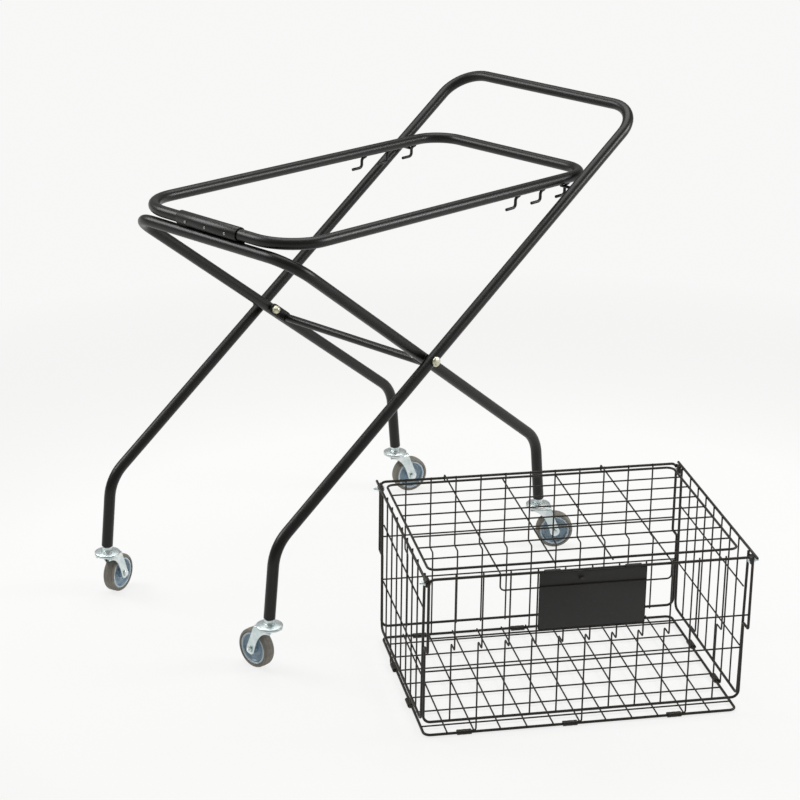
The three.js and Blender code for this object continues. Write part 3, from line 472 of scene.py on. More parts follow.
def bent_rod(corners, diameter, sides=WIRE_SIDES, closed=False, step=WIRE_BEND_STEP):
    """A round rod: a circle drawn along the straight runs and spun through the bends.
    A corner is x, y, z and, where the rod bends, the bend's radius."""
    points = [Vector(corner[:3]) for corner in corners]
    inner = range(len(points)) if closed else range(1, len(points) - 1)
    bends = [Bend(points[index - 1], points[index], points[(index + 1) % len(points)], corners[index][3])
             for index in inner]
    here = points[0]
    if closed:
        here = bends[0].end
        bends = bends[1:] + bends[:1]
    heading = (bends[0].start if bends else points[-1]) - here
    deselect()
    bpy.ops.mesh.primitive_circle_add(vertices=sides, radius=diameter / 2, location=here,
                                      rotation=heading.to_track_quat("Z", "Y").to_euler())
    rod = fix_place(bpy.context.object)
    edit(rod)
    for bend in bends:
        if (bend.start - here).length > MERGE:
            extrude(bend.start - here)
        steps = max(2, math.ceil(bend.turn / step))
        bpy.ops.mesh.spin(steps=steps, angle=-bend.turn, center=bend.centre, axis=bend.axis)
        here = bend.end
    if closed:
        bpy.ops.mesh.select_all(action="SELECT")
        bpy.ops.mesh.remove_doubles(threshold=MERGE)
    else:
        extrude(points[-1] - here)
        bpy.ops.mesh.select_all(action="SELECT")
        bpy.ops.mesh.fill_holes(sides=0)
    outward()
    return rod


def hollow_ends(rod, wall, depth):
    """Opens the flat ends of a tube."""
    edit(rod)
    bpy.ops.mesh.select_mode(type="FACE")
    bpy.ops.mesh.select_all(action="DESELECT")
    bpy.ops.mesh.select_face_by_sides(number=4, type="GREATER")
    bpy.ops.mesh.inset(thickness=wall)
    bpy.ops.mesh.extrude_region_shrink_fatten(TRANSFORM_OT_shrink_fatten={"value": -depth})
    bpy.ops.mesh.select_mode(type="VERT")
    outward()
    return rod


def turned(profile, sides=ROUND_SIDES):
    """A round piece along Z: a circle extruded and scaled from each (radius, height) to the next."""
    (radius, height), *rings = profile
    deselect()
    bpy.ops.mesh.primitive_circle_add(vertices=sides, radius=radius, location=(0, 0, height))
    piece = fix_place(bpy.context.object)
    edit(piece)
    for next_radius, next_height in rings:
        extrude((0, 0, next_height - height))
        growth = next_radius / radius
        bpy.ops.transform.resize(value=(growth, growth, 1), center_override=(0, 0, next_height))
        radius = next_radius
        height = next_height
    bpy.ops.mesh.select_all(action="SELECT")
    if profile[0] == profile[-1]:
        bpy.ops.mesh.remove_doubles(threshold=MERGE)
    else:
        bpy.ops.mesh.fill_holes(sides=0)
    outward()
    return piece


def dome_profile(radius, rim, top):
    """A quarter ellipse that rises from the rim and ends close to the axis."""
    angles = [DOME_END * step / DOME_STEPS for step in range(DOME_STEPS + 1)]
    return [(radius * math.cos(angle), rim + (top - rim) * math.sin(angle)) for angle in angles]


def both_faces(side):
    """A closed profile: one face of a wheel, and its mirror image back to the start."""
    profile = side + [(radius, -height) for radius, height in reversed(side) if height]
    return profile + profile[:1]


def over_corners(flats, sides):
    """Radius over the corners of a rod or nut with this many sides, from its width across the flats."""
    return flats / 2 / math.cos(math.pi / sides)


def hexagon(flats, height, bottom, chamfer=FINE_EDGE):
    """A hexagon nut or head along Z, its corners chamfered."""
    deselect()
    bpy.ops.mesh.primitive_cylinder_add(vertices=6, radius=over_corners(flats, 6), depth=height,
                                        location=(0, 0, bottom + height / 2))
    return rounded(fix_place(bpy.context.object), chamfer, angle=50)


def flat_sheet(place):
    """A rectangle whose four corners go where the function puts them."""
    deselect()
    bpy.ops.mesh.primitive_plane_add(size=1)
    sheet = bpy.context.object
    for vertex in sheet.data.vertices:
        vertex.co = place(*vertex.co.xy)
    return sheet


def sheet_block(low, high, corner):
    """A small flat block between two points, with round corners and soft edges."""
    deselect()
    size = [far - near for near, far in zip(low, high)]
    middle = [(near + far) / 2 for near, far in zip(low, high)]
    bpy.ops.mesh.primitive_cube_add(size=1, location=middle, scale=size)
    block = fix_place(bpy.context.object)
    thin = size.index(min(size))

    def runs_through(side):
        first, second = (block.data.vertices[index].co for index in side.vertices)
        return abs((first - second)[thin]) > size[thin] / 2

    choose(block, "edges", runs_through)
    bpy.ops.mesh.select_mode(type="EDGE")
    bpy.ops.mesh.bevel(offset=corner, segments=4)
    bpy.ops.mesh.select_mode(type="VERT")
    bpy.ops.object.mode_set(mode="OBJECT")
    return rounded(block, SHEET_EDGE, segments=1)


def stadium(diameter, reach, thickness, edge):
    """A flat plate with round ends, from the origin along X, its thickness along Z."""
    deselect()
    bpy.ops.mesh.primitive_circle_add(vertices=OVAL_SIDES, radius=diameter / 2, fill_type="NGON",
                                      rotation=(0, 0, math.pi / OVAL_SIDES))
    plate = fix_place(bpy.context.object)
    choose(plate, "vertices", lambda vertex: vertex.co.x > 0)
    bpy.ops.transform.translate(value=(reach, 0, 0))
    bpy.ops.mesh.select_all(action="SELECT")
    extrude((0, 0, thickness))
    outward()
    return rounded(plate, edge)


def weld_bead(radius, thickness, location=(0, 0, 0), rotation=(0, 0, 0)):
    deselect()
    bpy.ops.mesh.primitive_torus_add(major_radius=radius, minor_radius=thickness, major_segments=16,
                                     minor_segments=6, location=location, rotation=rotation)
    return fix_place(bpy.context.object)


def finished(piece, name, body, nodes, slot, finish=None):
    """Names and smooths the piece, gives it its slot's finish or another, and ties it to its solids."""
    piece.name = name
    piece.data.name = name
    select([piece])
    bpy.ops.object.shade_smooth_by_angle(angle=SMOOTH_ANGLE)
    piece.data.materials.clear()
    piece.data.materials.append(MATERIALS[finish or slot])
    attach(piece, body)
    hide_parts(*nodes)


def body_of(node):
    """The body that carries a node of the packed model."""
    bodies = frame["record"]["behaviour"]["bodies"]
    return next(body for body, nodes in bodies.items() if node in nodes)


class Signal:
    """One output of a material's nodes, so that patterns add and multiply as plain sums."""

    def __init__(self, finish, socket):
        self.finish = finish
        self.socket = socket

    def combined(self, operation, first, second):
        return self.finish.node("ShaderNodeMath", {"operation": operation}, {0: first, 1: second})

    def __add__(self, other):
        return self.combined("ADD", self, other)

    def __radd__(self, other):
        return self.combined("ADD", other, self)

    def __sub__(self, other):
        return self.combined("SUBTRACT", self, other)

    def __rsub__(self, other):
        return self.combined("SUBTRACT", other, self)

    def __mul__(self, other):
        return self.combined("MULTIPLY", self, other)

    def __rmul__(self, other):
        return self.combined("MULTIPLY", other, self)


class Finish:
    """A material with its nodes."""

    def __init__(self, name, **settings):
        self.material = bpy.data.materials.new(name)
        self.material.use_nodes = True
        self.nodes = self.material.node_tree.nodes
        self.links = self.material.node_tree.links
        self.shader = self.nodes["Principled BSDF"]
        for socket, value in settings.items():
            self.shader.inputs[socket.replace("_", " ")].default_value = value

    def node(self, kind, settings, values, output=0):
        """A node: its settings first, then the values or links of its sockets."""
        node = self.nodes.new(kind)
        for name, value in settings.items():
            if name == "stops":
                while len(node.color_ramp.elements) < len(value):
                    node.color_ramp.elements.new(0.5)
                for element, (position, level) in zip(node.color_ramp.elements, value):
                    element.position = position
                    element.color = (level, level, level, 1)
            else:
                setattr(node, name, value)
        for socket, value in values.items():
            self.feed(node.inputs[socket], value)
        return Signal(self, node.outputs[output])

    def feed(self, socket, value):
        if isinstance(value, Signal):
            self.links.new(value.socket, socket)
        else:
            socket.default_value = value

    def place(self):
        return self.node("ShaderNodeTexCoord", {}, {}, "Object")

    def noise(self, place, scale, detail):
        return self.node("ShaderNodeTexNoise", {}, {"Vector": place, "Scale": scale, "Detail": detail})

    def ramp(self, signal, *stops):
        return self.node("ShaderNodeValToRGB", {"stops": stops}, {"Fac": signal})

    def mix(self, amount, first, second):
        values = {0: amount, 6: (*first, 1) if isinstance(first, tuple) else first, 7: (*second, 1)}
        return self.node("ShaderNodeMix", {"data_type": "RGBA"}, values, 2)

    def bump(self, height, distance, strength):
        return self.node("ShaderNodeBump", {}, {"Height": height, "Distance": distance, "Strength": strength})

    def surface(self, **links):
        for socket, signal in links.items():
            self.feed(self.shader.inputs[socket.replace("_", " ")], signal)
        return self.material


def lighter(shade, factor):
    return tuple(min(1.0, channel * factor) for channel in shade)


def powder_coat(name, shade, gloss):
    """Satin powder coat: a fine orange peel, cloudy gloss and a little pale dust"""
    finish = Finish(name, Specular_IOR_Level=0.32)
    place = finish.place()
    peel = finish.noise(place, scale=900, detail=1)
    clouds = finish.noise(place, scale=14, detail=3)
    dust = finish.ramp(finish.noise(place, scale=160, detail=5), (0.58, 0.0), (0.80, 1.0))
    tint = finish.mix(clouds, lighter(shade, 0.8), lighter(shade, 1.25))
    return finish.surface(
        Base_Color=finish.mix(dust * 0.10, tint, lighter(shade, 6.0)),
        Roughness=gloss + clouds * 0.10 + dust * 0.12,
        Normal=finish.bump(peel, distance=0.00008, strength=0.6),
    )


def zinc_plate(name, shade, cast):
    """Zinc plate: mottled, with fine rubbing and a faint cast in its darker spots"""
    finish = Finish(name, Metallic=1.0)
    place = finish.place()
    spangle = finish.node("ShaderNodeTexVoronoi", {}, {"Vector": place, "Scale": 420.0}, "Color")
    blotches = finish.noise(place, scale=70, detail=4)
    drawn_out = finish.node("ShaderNodeMapping", {}, {"Vector": place, "Scale": (1, 1, 14)})
    rubbing = finish.noise(drawn_out, scale=500, detail=3)
    grain = finish.node("ShaderNodeSeparateColor", {}, {"Color": spangle})
    return finish.surface(
        Base_Color=finish.mix(finish.ramp(blotches, (0.35, 0.0), (0.7, 1.0)), shade, cast),
        Roughness=0.30 + grain * 0.08 + blotches * 0.14,
        Normal=finish.bump(rubbing, distance=0.00003, strength=0.5),
    )


def moulded(name, shade, gloss):
    """Moulded plastic: a fine skin and slight scuffs"""
    finish = Finish(name)
    place = finish.place()
    skin = finish.noise(place, scale=1400, detail=1)
    scuffs = finish.ramp(finish.noise(place, scale=120, detail=6), (0.55, 0.0), (0.75, 1.0))
    return finish.surface(
        Base_Color=finish.mix(scuffs * 0.35, shade, lighter(shade, 1.6)),
        Roughness=gloss + scuffs * 0.15,
        Normal=finish.bump(skin, distance=0.00003, strength=0.5),
    )


def rubber(name, shade):
    """Tyre rubber: dull, with dust worked into it"""
    finish = Finish(name, Specular_IOR_Level=0.35)
    place = finish.place()
    skin = finish.noise(place, scale=1100, detail=2)
    dust = finish.ramp(finish.noise(place, scale=90, detail=6), (0.45, 0.0), (0.72, 1.0))
    return finish.surface(
        Base_Color=finish.mix(dust * 0.5, shade, lighter(shade, 1.7)),
        Roughness=0.62 + dust * 0.2,
        Normal=finish.bump(skin, distance=0.00006, strength=0.6),
    )


# How each finish is made, and its gloss or, on metal, the cast of its darker spots
RECIPES = {
    "frame_paint": (powder_coat, 0.30),
    "wire_paint": (powder_coat, 0.38),
    "plate_paint": (powder_coat, 0.48),
    "zinc": (zinc_plate, (0.58, 0.69, 0.69)),
    "pivot_zinc": (zinc_plate, (0.50, 0.50, 0.32)),
    "rivet_steel": (zinc_plate, (0.24, 0.23, 0.21)),
    "spacer_nylon": (moulded, 0.45),
    "wheel_plastic": (moulded, 0.36),
    "rim_plastic": (moulded, 0.42),
    "tyre": (rubber,),
}
MATERIALS = {}


class BuildFinishes(bpy.types.Operator):
    """Make the finishes of the tubes, wires, fasteners and wheels"""

    bl_idname = "ball_cart.finishes"
    bl_label = "Finishes"

    def execute(self, context):
        for name, (recipe, *trait) in RECIPES.items():
            shade = tuple(getattr(context.scene.ball_cart_colours, name))
            MATERIALS[name] = recipe(name, shade, *trait)
        return {"FINISHED"}


def cart_point(x, y, z):
    """A point measured on the cart, in the model's frame."""
    return CART_PLACE + Vector((x, y, z))


def on_cart(x, y, z, radius=0.0):
    """A rod's corner measured on the cart."""
    return (*cart_point(x, y, z), radius)


def frame_tube(sizes, foot_x, bend, top, half_width, top_half_width, corner_radius):
    """One leg, the top bar and the other leg, bent from one tube with open ends."""
    legs = [[
        on_cart(foot_x, side * half_width, LEG_END),
        on_cart(bend[0], side * half_width, bend[1], LEG_BEND_RADIUS),
        on_cart(top[0], side * top_half_width, top[1], corner_radius),
    ] for side in (-1, 1)]
    tube = bent_rod(legs[0] + legs[1][::-1], sizes.tube, TUBE_SIDES, step=BEND_STEP)
    return hollow_ends(tube, sizes.tube_wall, sizes.tube_wall * 2)


def between(low, high, share):
    return low + (high - low) * share


def ring_height(x):
    """Height of the ring's middle line, between its hinge and its end."""
    return between(RING_HINGE.z, RING_END_Z, (x - HINGE_OFFSET_X) / (RING_END_X - HINGE_OFFSET_X))


def handle_pin_place(sizes):
    """Where the pins are: on the handle's legs, just under the ring's rails."""
    slope = (HANDLE_TOP[1] - HANDLE_BEND[1]) / (HANDLE_TOP[0] - HANDLE_BEND[0])
    fall = (RING_END_Z - RING_HINGE.z) / (RING_END_X - HINGE_OFFSET_X)
    below = sizes.tube / 2 + SEAT_GAP + sizes.hook_rod / 2
    x = (ring_height(0) - below - HANDLE_BEND[1] + slope * HANDLE_BEND[0]) / (slope - fall)
    return x, ring_height(x) - below


class BuildHandleFrame(bpy.types.Operator):
    """Bend the outer frame with its push bar and two pins"""

    bl_idname = "ball_cart.handle_frame"
    bl_label = "Handle frame"

    def execute(self, context):
        sizes = context.scene.ball_cart_sizes
        pieces = [frame_tube(sizes, HANDLE_FOOT_X, HANDLE_BEND, HANDLE_TOP, HANDLE_HALF_WIDTH,
                             HANDLE_TOP_HALF_WIDTH, HANDLE_CORNER_RADIUS)]
        x, z = handle_pin_place(sizes)
        share = (x - HANDLE_BEND[0]) / (HANDLE_TOP[0] - HANDLE_BEND[0])
        middle = between(HANDLE_HALF_WIDTH, HANDLE_TOP_HALF_WIDTH, share)
        pin_end = turned(dome_profile(sizes.hook_rod / 2, -PIN_END_SINK, PIN_END_HEIGHT), SMALL_SIDES)
        for side in (-1, 1):
            root = side * (middle - sizes.tube / 4)
            tip = side * (middle - sizes.tube / 2 - PIN_REACH)
            pin = bent_rod([on_cart(x, root, z), on_cart(x, tip, z)], sizes.hook_rod)
            pieces.append(rounded(pin, sizes.hook_rod / 8))
            bead_place = cart_point(x, side * (middle - sizes.tube / 2 + sizes.weld / 4), z)
            pieces.append(weld_bead(sizes.hook_rod / 2, sizes.weld, bead_place, (math.pi / 2, 0, 0)))
            end_place = cart_point(x, side * (middle + sizes.tube / 2), z)
            pieces.append(copied(pin_end, end_place, (-side * math.pi / 2, 0, 0)))
        bpy.data.objects.remove(pin_end)
        finished(joined(pieces), "handle_tube", "handle", ["handle_frame"], "frame_paint")
        return {"FINISHED"}


class BuildSupportFrame(bpy.types.Operator):
    """Bend the inner frame"""

    bl_idname = "ball_cart.support_frame"
    bl_label = "Support frame"

    def execute(self, context):
        tube = frame_tube(context.scene.ball_cart_sizes, SUPPORT_FOOT_X, SUPPORT_BEND, SUPPORT_TOP,
                          SUPPORT_HALF_WIDTH, SUPPORT_TOP_HALF_WIDTH, SUPPORT_CORNER_RADIUS)
        finished(tube, "support_tube", "support", ["support_frame"], "frame_paint")
        return {"FINISHED"}


class BuildCrossBar(bpy.types.Operator):
    """Make the bar between the two pivots, with its tabs"""

    bl_idname = "ball_cart.cross_bar"
    bl_label = "Cross bar"

    def execute(self, context):
        sizes = context.scene.ball_cart_sizes
        low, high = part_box("cross_bar")
        along = math.atan2(SUPPORT_TOP[1] - SUPPORT_BEND[1], SUPPORT_TOP[0] - SUPPORT_BEND[0]) - math.pi
        x = PIVOT.x + CROSS_BAR_REACH * math.cos(along)
        z = PIVOT.z + CROSS_BAR_REACH * math.sin(along)
        sheet = CROSS_TAB_SHEET
        ends = [(x, y, z) for y in (low.y + sheet / 2, high.y - sheet / 2)]
        pieces = [bent_rod(ends, sizes.cross_bar, TUBE_SIDES)]
        for inner, bead in ((low.y, low.y + sheet), (high.y - sheet, high.y - sheet)):
            plate = stadium(CROSS_TAB_WIDTH, CROSS_BAR_REACH, sheet, FINE_EDGE)
            pieces.append(placed(plate, (PIVOT.x, inner + sheet, PIVOT.z), (math.pi / 2, -along, 0)))
            pieces.append(weld_bead(sizes.cross_bar / 2, sizes.weld, (x, bead, z), (math.pi / 2, 0, 0)))
        finished(joined(pieces), "cross_bar_tube", "support", ["cross_bar"], "frame_paint")
        return {"FINISHED"}


class BuildRing(bpy.types.Operator):
    """Bend the top ring and weld three hooks under each rail"""

    bl_idname = "ball_cart.ring"
    bl_label = "Top ring"

    def execute(self, context):
        sizes = context.scene.ball_cart_sizes
        ring_corners = [
            on_cart(HINGE_OFFSET_X, -RING_HALF_WIDTH, RING_HINGE.z, RING_HINGE_CORNER_RADIUS),
            on_cart(RING_END_X, -RING_HALF_WIDTH, RING_END_Z, RING_CORNER_RADIUS),
            on_cart(RING_END_X, RING_HALF_WIDTH, RING_END_Z, RING_CORNER_RADIUS),
            on_cart(HINGE_OFFSET_X, RING_HALF_WIDTH, RING_HINGE.z, RING_HINGE_CORNER_RADIUS),
        ]
        pieces = [bent_rod(ring_corners, sizes.tube, TUBE_SIDES, closed=True, step=BEND_STEP)]
        first = handle_pin_place(sizes)[0] + sizes.hook_rod + SEAT_GAP
        for side in (-1, 1):
            y = side * RING_HALF_WIDTH
            for index in range(HOOK_COUNT):
                x = first - index * HOOK_SPACING
                underside = ring_height(x) - sizes.tube / 2
                foot = underside - HOOK_DROP
                hook = bent_rod([
                    on_cart(x + HOOK_TAIL, y, underside),
                    on_cart(x, y, underside - sizes.hook_rod / 2, HOOK_BEND_RADIUS),
                    on_cart(x, y, foot, HOOK_BEND_RADIUS),
                    on_cart(x - HOOK_FOOT, y, foot),
                ], sizes.hook_rod, step=BEND_STEP)
                bead = weld_bead(sizes.hook_rod / 3, sizes.weld)
                bead.scale = HOOK_WELD_STRETCH
                bead.location = cart_point(x + HOOK_TAIL / 2, y, underside)
                pieces += [rounded(hook, sizes.hook_rod / 10, angle=60), fix_place(bead)]
        finished(joined(pieces), "ring_tube", "ring", ["top_ring"], "frame_paint")
        return {"FINISHED"}


class BuildHingeSleeve(bpy.types.Operator):
    """Roll the strap: an eye round the ring's end bar, a flat and a short curl under the support's bar"""

    bl_idname = "ball_cart.hinge_sleeve"
    bl_label = "Hinge sleeve"

    def execute(self, context):
        sizes = context.scene.ball_cart_sizes
        low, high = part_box("hinge_sleeve")
        middle = over_corners(sizes.tube, PACKED_TUBE_SIDES) + SEAT_GAP + sizes.sleeve_wall / 2
        support_bar = cart_point(SUPPORT_TOP[0], 0, SUPPORT_TOP[1])
        across = RING_HINGE - support_bar
        across.y = 0
        lean = math.atan2(across.z, across.x)
        strap = flat_sheet(lambda x, y: (across.length if x > 0 else 0, high.y if y > 0 else low.y, -middle))
        for centre, turn in ((across.length, SLEEVE_EYE_TURN), (0, -SLEEVE_CURL_TURN)):
            choose(strap, "vertices",
                   lambda vertex: (vertex.co - Vector((centre, vertex.co.y, -middle))).length < MERGE)
            bpy.ops.mesh.spin(steps=SLEEVE_STEPS, angle=turn, center=(centre, 0, 0), axis=(0, 1, 0))
            bpy.ops.object.mode_set(mode="OBJECT")
        modified(strap, "SOLIDIFY", thickness=sizes.sleeve_wall, offset=0)
        rounded(strap, sizes.sleeve_wall / 5)
        placed(strap, (support_bar.x, 0, support_bar.z), (0, -lean, 0))
        finished(strap, "hinge_sleeve_sheet", "support", ["hinge_sleeve"], "frame_paint")
        profile = dome_profile(sizes.rivet / 2, RIVET_RIM, RIVET_HEIGHT)
        rivet = turned([(sizes.rivet / 2, -sizes.sleeve_wall / 2), *profile], SMALL_SIDES)
        surface = middle + sizes.sleeve_wall / 2
        rivets = row_of(rivet, [(0, step * sizes.rivet_spacing, surface) for step in (-1, 0, 1)])
        placed(rivets, (RING_HINGE.x, (low.y + high.y) / 2, RING_HINGE.z), (0, RIVET_LEAN, 0))
        finished(rivets, "hinge_rivets", "support", ["hinge_sleeve"], "zinc", "rivet_steel")
        return {"FINISHED"}


class BuildPivots(bpy.types.Operator):
    """Turn the pivot bolts, their cap nuts and the spacers between the tubes"""

    bl_idname = "ball_cart.pivots"
    bl_label = "Pivots"

    def execute(self, context):
        for name, side in (("near", -1), ("far", 1)):
            self.bolt(name, side)
            self.nut(name, side)
            self.spacer(name)
        return {"FINISHED"}

    def bolt(self, name, side):
        """A mushroom head outside the handle's leg, and a plain shank"""
        node = f"pivot_bolt_{name}"
        low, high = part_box(node)
        head = (high.x - low.x) / 2
        shank = head * PIVOT_SHANK_SHARE
        end = PIVOT_HEAD_HEIGHT - (high.y - low.y)
        profile = [
            (shank, end), (shank, -SEAT_GAP), (head * PIVOT_SEAT_SHARE, 0), (head, PIVOT_HEAD_EDGE),
            *dome_profile(head, PIVOT_HEAD_RIM, PIVOT_HEAD_HEIGHT),
        ]
        bolt = turned(profile)
        outer = high.y if side > 0 else low.y
        placed(bolt, (PIVOT.x, outer - side * PIVOT_HEAD_HEIGHT, PIVOT.z), (-side * math.pi / 2, 0, 0))
        finished(bolt, f"{node}_head", "support", [node], "zinc", "pivot_zinc")

    def nut(self, name, side):
        """A cap nut: hexagon, washer face and dome"""
        node = f"pivot_nut_{name}"
        low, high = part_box(node)
        flats = min(high.z - low.z, high.x - low.x)
        depth = high.y - low.y
        height = depth * CAP_NUT_HEIGHT_SHARE
        radius = flats * CAP_NUT_DOME_SHARE
        hexagonal = hexagon(flats, height, 0)
        dome = turned([(radius, height * 4 / 5), *dome_profile(radius, height * 5 / 4, depth)])
        outer = low.y if side < 0 else high.y
        nut = placed(joined([hexagonal, dome]), (PIVOT.x, outer, PIVOT.z), (side * math.pi / 2, 0, 0))
        finished(nut, f"{node}_cap", "support", [node], "zinc", "pivot_zinc")

    def spacer(self, name):
        """A short nylon tube with softened edges"""
        node = f"pivot_spacer_{name}"
        low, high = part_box(node)
        radius = (high.z - low.z) / 2
        depth = high.y - low.y
        edge = FINE_EDGE
        bore = radius * SPACER_BORE_SHARE
        spacer = turned([
            (bore, 0), (radius - edge, 0), (radius, edge), (radius, depth - edge), (radius - edge, depth),
            (bore, depth), (bore, 0),
        ])
        placed(spacer, (PIVOT.x, high.y, PIVOT.z), (math.pi / 2, 0, 0))
        finished(spacer, f"{node}_tube", "support", [node], "spacer_nylon")


def caster_place(foot):
    """Where a caster stands and which way its wheel trails, from its two joints."""
    swivel = Vector(JOINTS[f"swivel_{foot}"]["pos_m"])
    axle = Vector(JOINTS[f"spin_{foot}"]["pos_m"])
    return (swivel.x, swivel.y, 0), (0, 0, math.atan2(axle.y - swivel.y, axle.x - swivel.x))


def four_of(piece, name, node, slot, finish=None, trailing=True):
    """One copy of a caster's piece under each leg."""
    for foot in FEET:
        location, rotation = caster_place(foot)
        solid = f"caster_{foot}_{node}"
        copy = copied(piece, location, rotation if trailing else (0, 0, 0))
        finished(copy, f"caster_{foot}_{name}", body_of(solid), [solid], slot, finish)
    bpy.data.objects.remove(piece)


class BuildStems(bpy.types.Operator):
    """Make the casters' stems with their hexagon, race cap and kingpin"""

    bl_idname = "ball_cart.stems"
    bl_label = "Caster stems"

    def execute(self, context):
        sizes = context.scene.ball_cart_casters
        cap_bottom = CROWN_BOTTOM + FORK_SHEET + RACE_HEIGHT + SEAT_GAP
        cap_top = cap_bottom + RACE_HEIGHT
        crown = CROWN_BOTTOM - SEAT_GAP
        head_bottom = crown - KINGPIN_HEAD_HEIGHT
        kingpin = sizes.stem * KINGPIN_SHARE
        edge = CAP_EDGE
        rim = RACE_RADIUS
        profile = [
            (KINGPIN_HEAD_TIP_RADIUS, head_bottom), (KINGPIN_HEAD_RADIUS, head_bottom + KINGPIN_HEAD_EDGE),
            (KINGPIN_HEAD_RADIUS, crown), (kingpin, crown), (kingpin, cap_bottom),
            (rim - edge, cap_bottom), (rim, cap_bottom + edge / 2), (rim, cap_bottom + edge),
            (rim - edge, cap_bottom + edge * 1.8), (rim * CAP_SLOPE_SHARE, cap_top - edge),
            (rim * CAP_TOP_SHARE, cap_top), (sizes.stem / 2, cap_top), (sizes.stem / 2, STEM_TOP),
        ]
        nut = hexagon(sizes.stem_nut, STEM_NUT_TOP - cap_top, cap_top, STEM_NUT_CHAMFER)
        four_of(joined([turned(profile), nut]), "stem_bolt", "stem", "zinc", trailing=False)
        return {"FINISHED"}


class BuildForks(bpy.types.Operator):
    """Press the casters' forks: a folded crown, two swept cheeks and the lower race"""

    bl_idname = "ball_cart.forks"
    bl_label = "Caster forks"

    def execute(self, context):
        sizes = context.scene.ball_cart_casters
        halves = [self.cheek(sizes), self.cheek(sizes)]
        select([halves[1]])
        bpy.ops.transform.mirror(constraint_axis=(False, True, False), center_override=(0, 0, 0))
        fork = joined([fix_place(half) for half in halves])
        edit(fork)
        bpy.ops.mesh.remove_doubles(threshold=MERGE)
        outward()
        modified(fork, "SOLIDIFY", thickness=FORK_SHEET, offset=0)
        rounded(fork, FORK_SHEET / 6, angle=50)
        four_of(joined([fork, self.race(sizes)]), "fork_sheet", "fork", "zinc")
        return {"FINISHED"}

    def race(self, sizes):
        """The lower race, sunk into the crown"""
        bottom = CROWN_BOTTOM + FORK_SHEET / 2
        top = CROWN_BOTTOM + FORK_SHEET + RACE_HEIGHT
        bore = sizes.stem * RACE_BORE_SHARE
        edge = RACE_EDGE
        rim = RACE_RADIUS
        return turned([
            (bore, bottom), (rim * RACE_FOOT_SHARE, bottom), (rim - edge, bottom + edge),
            (rim, bottom + edge * 2), (rim, top - edge), (rim - edge / 2, top), (rim - edge * 2, top),
            (rim - edge * 3, top - edge), (bore, top - edge), (bore, bottom),
        ])

    def cheek(self, sizes):
        """Half of the fork: a swept cheek with a round end at the axle, folded over to make half the crown"""
        plane = CHEEK_INNER + FORK_SHEET / 2
        top = CROWN_BOTTOM + FORK_SHEET / 2 - FORK_BEND
        flange = Vector((FORK_FRONT, plane, CROWN_BOTTOM - FORK_FLANGE))
        sweep = Vector((FORK_SWEEP, plane, CROWN_BOTTOM - FORK_FLANGE))
        axle = Vector((CASTER_TRAIL, plane, sizes.wheel / 2))
        steps = 14
        angles = [math.pi * (1 + step / steps) + FORK_END_ANGLE for step in range(steps + 1)]
        end = [axle + Vector((math.cos(angle), 0, math.sin(angle))) * FORK_END_RADIUS for angle in angles]
        swept = []
        for share in (step / steps for step in range(steps)):
            swept.append(flange * (1 - share) ** 2 + sweep * 2 * share * (1 - share) + end[0] * share ** 2)
        outline = [Vector((FORK_FRONT, plane, top)), *swept, *end, Vector((FORK_REAR, plane, top))]
        deselect()
        bpy.ops.mesh.primitive_circle_add(vertices=len(outline), fill_type="NGON")
        cheek = bpy.context.object
        for vertex, corner in zip(cheek.data.vertices, outline):
            vertex.co = corner
        choose(cheek, "vertices", lambda vertex: vertex.co.z > top - MERGE)
        bpy.ops.mesh.spin(steps=5, angle=-math.pi / 2, center=(0, plane - FORK_BEND, top), axis=(1, 0, 0))
        extrude((0, FORK_BEND - plane, 0))
        outward()
        return cheek


def lie_along_axle(piece, wheel):
    """From standing along Z to lying along Y at the wheel's centre."""
    return placed(piece, (CASTER_TRAIL, 0, wheel / 2), (-math.pi / 2, 0, 0))


class BuildWheels(bpy.types.Operator):
    """Mould the wheel centres, each with its pale rim"""

    bl_idname = "ball_cart.wheels"
    bl_label = "Wheel centres"

    def execute(self, context):
        sizes = context.scene.ball_cart_casters
        hub = sizes.hub
        disc = sizes.disc
        hub_half = CHEEK_INNER - SEAT_GAP
        bore = sizes.axle / 2 + SEAT_GAP
        web = WHEEL_WEB
        edge = WHEEL_EDGE
        groove = [disc * share for share in WHEEL_GROOVE_SHARES]
        groove_floor = web - WHEEL_GROOVE
        centre = turned(both_faces([
            (bore, hub_half), (hub - edge, hub_half), (hub, hub_half - edge), (hub + edge, web + edge),
            (hub + edge * 2, web), (groove[0], web), (groove[1], groove_floor), (groove[2], groove_floor),
            (groove[3], web), (disc * WHEEL_DISH_SHARE, web + edge), (disc - edge, web + edge * 4),
            (disc, web + edge * 6),
        ]), WHEEL_SIDES)
        four_of(lie_along_axle(centre, sizes.wheel), "wheel_centre", "wheel", "wheel_plastic")
        face = RIM_HALF_WIDTH
        rim = turned(both_faces([
            (disc + edge / 4, face - edge), (disc + edge, face), (sizes.rim - edge, face),
            (sizes.rim, face - edge),
        ]), WHEEL_SIDES)
        four_of(lie_along_axle(rim, sizes.wheel), "wheel_rim", "wheel", "wheel_plastic", "rim_plastic")
        return {"FINISHED"}


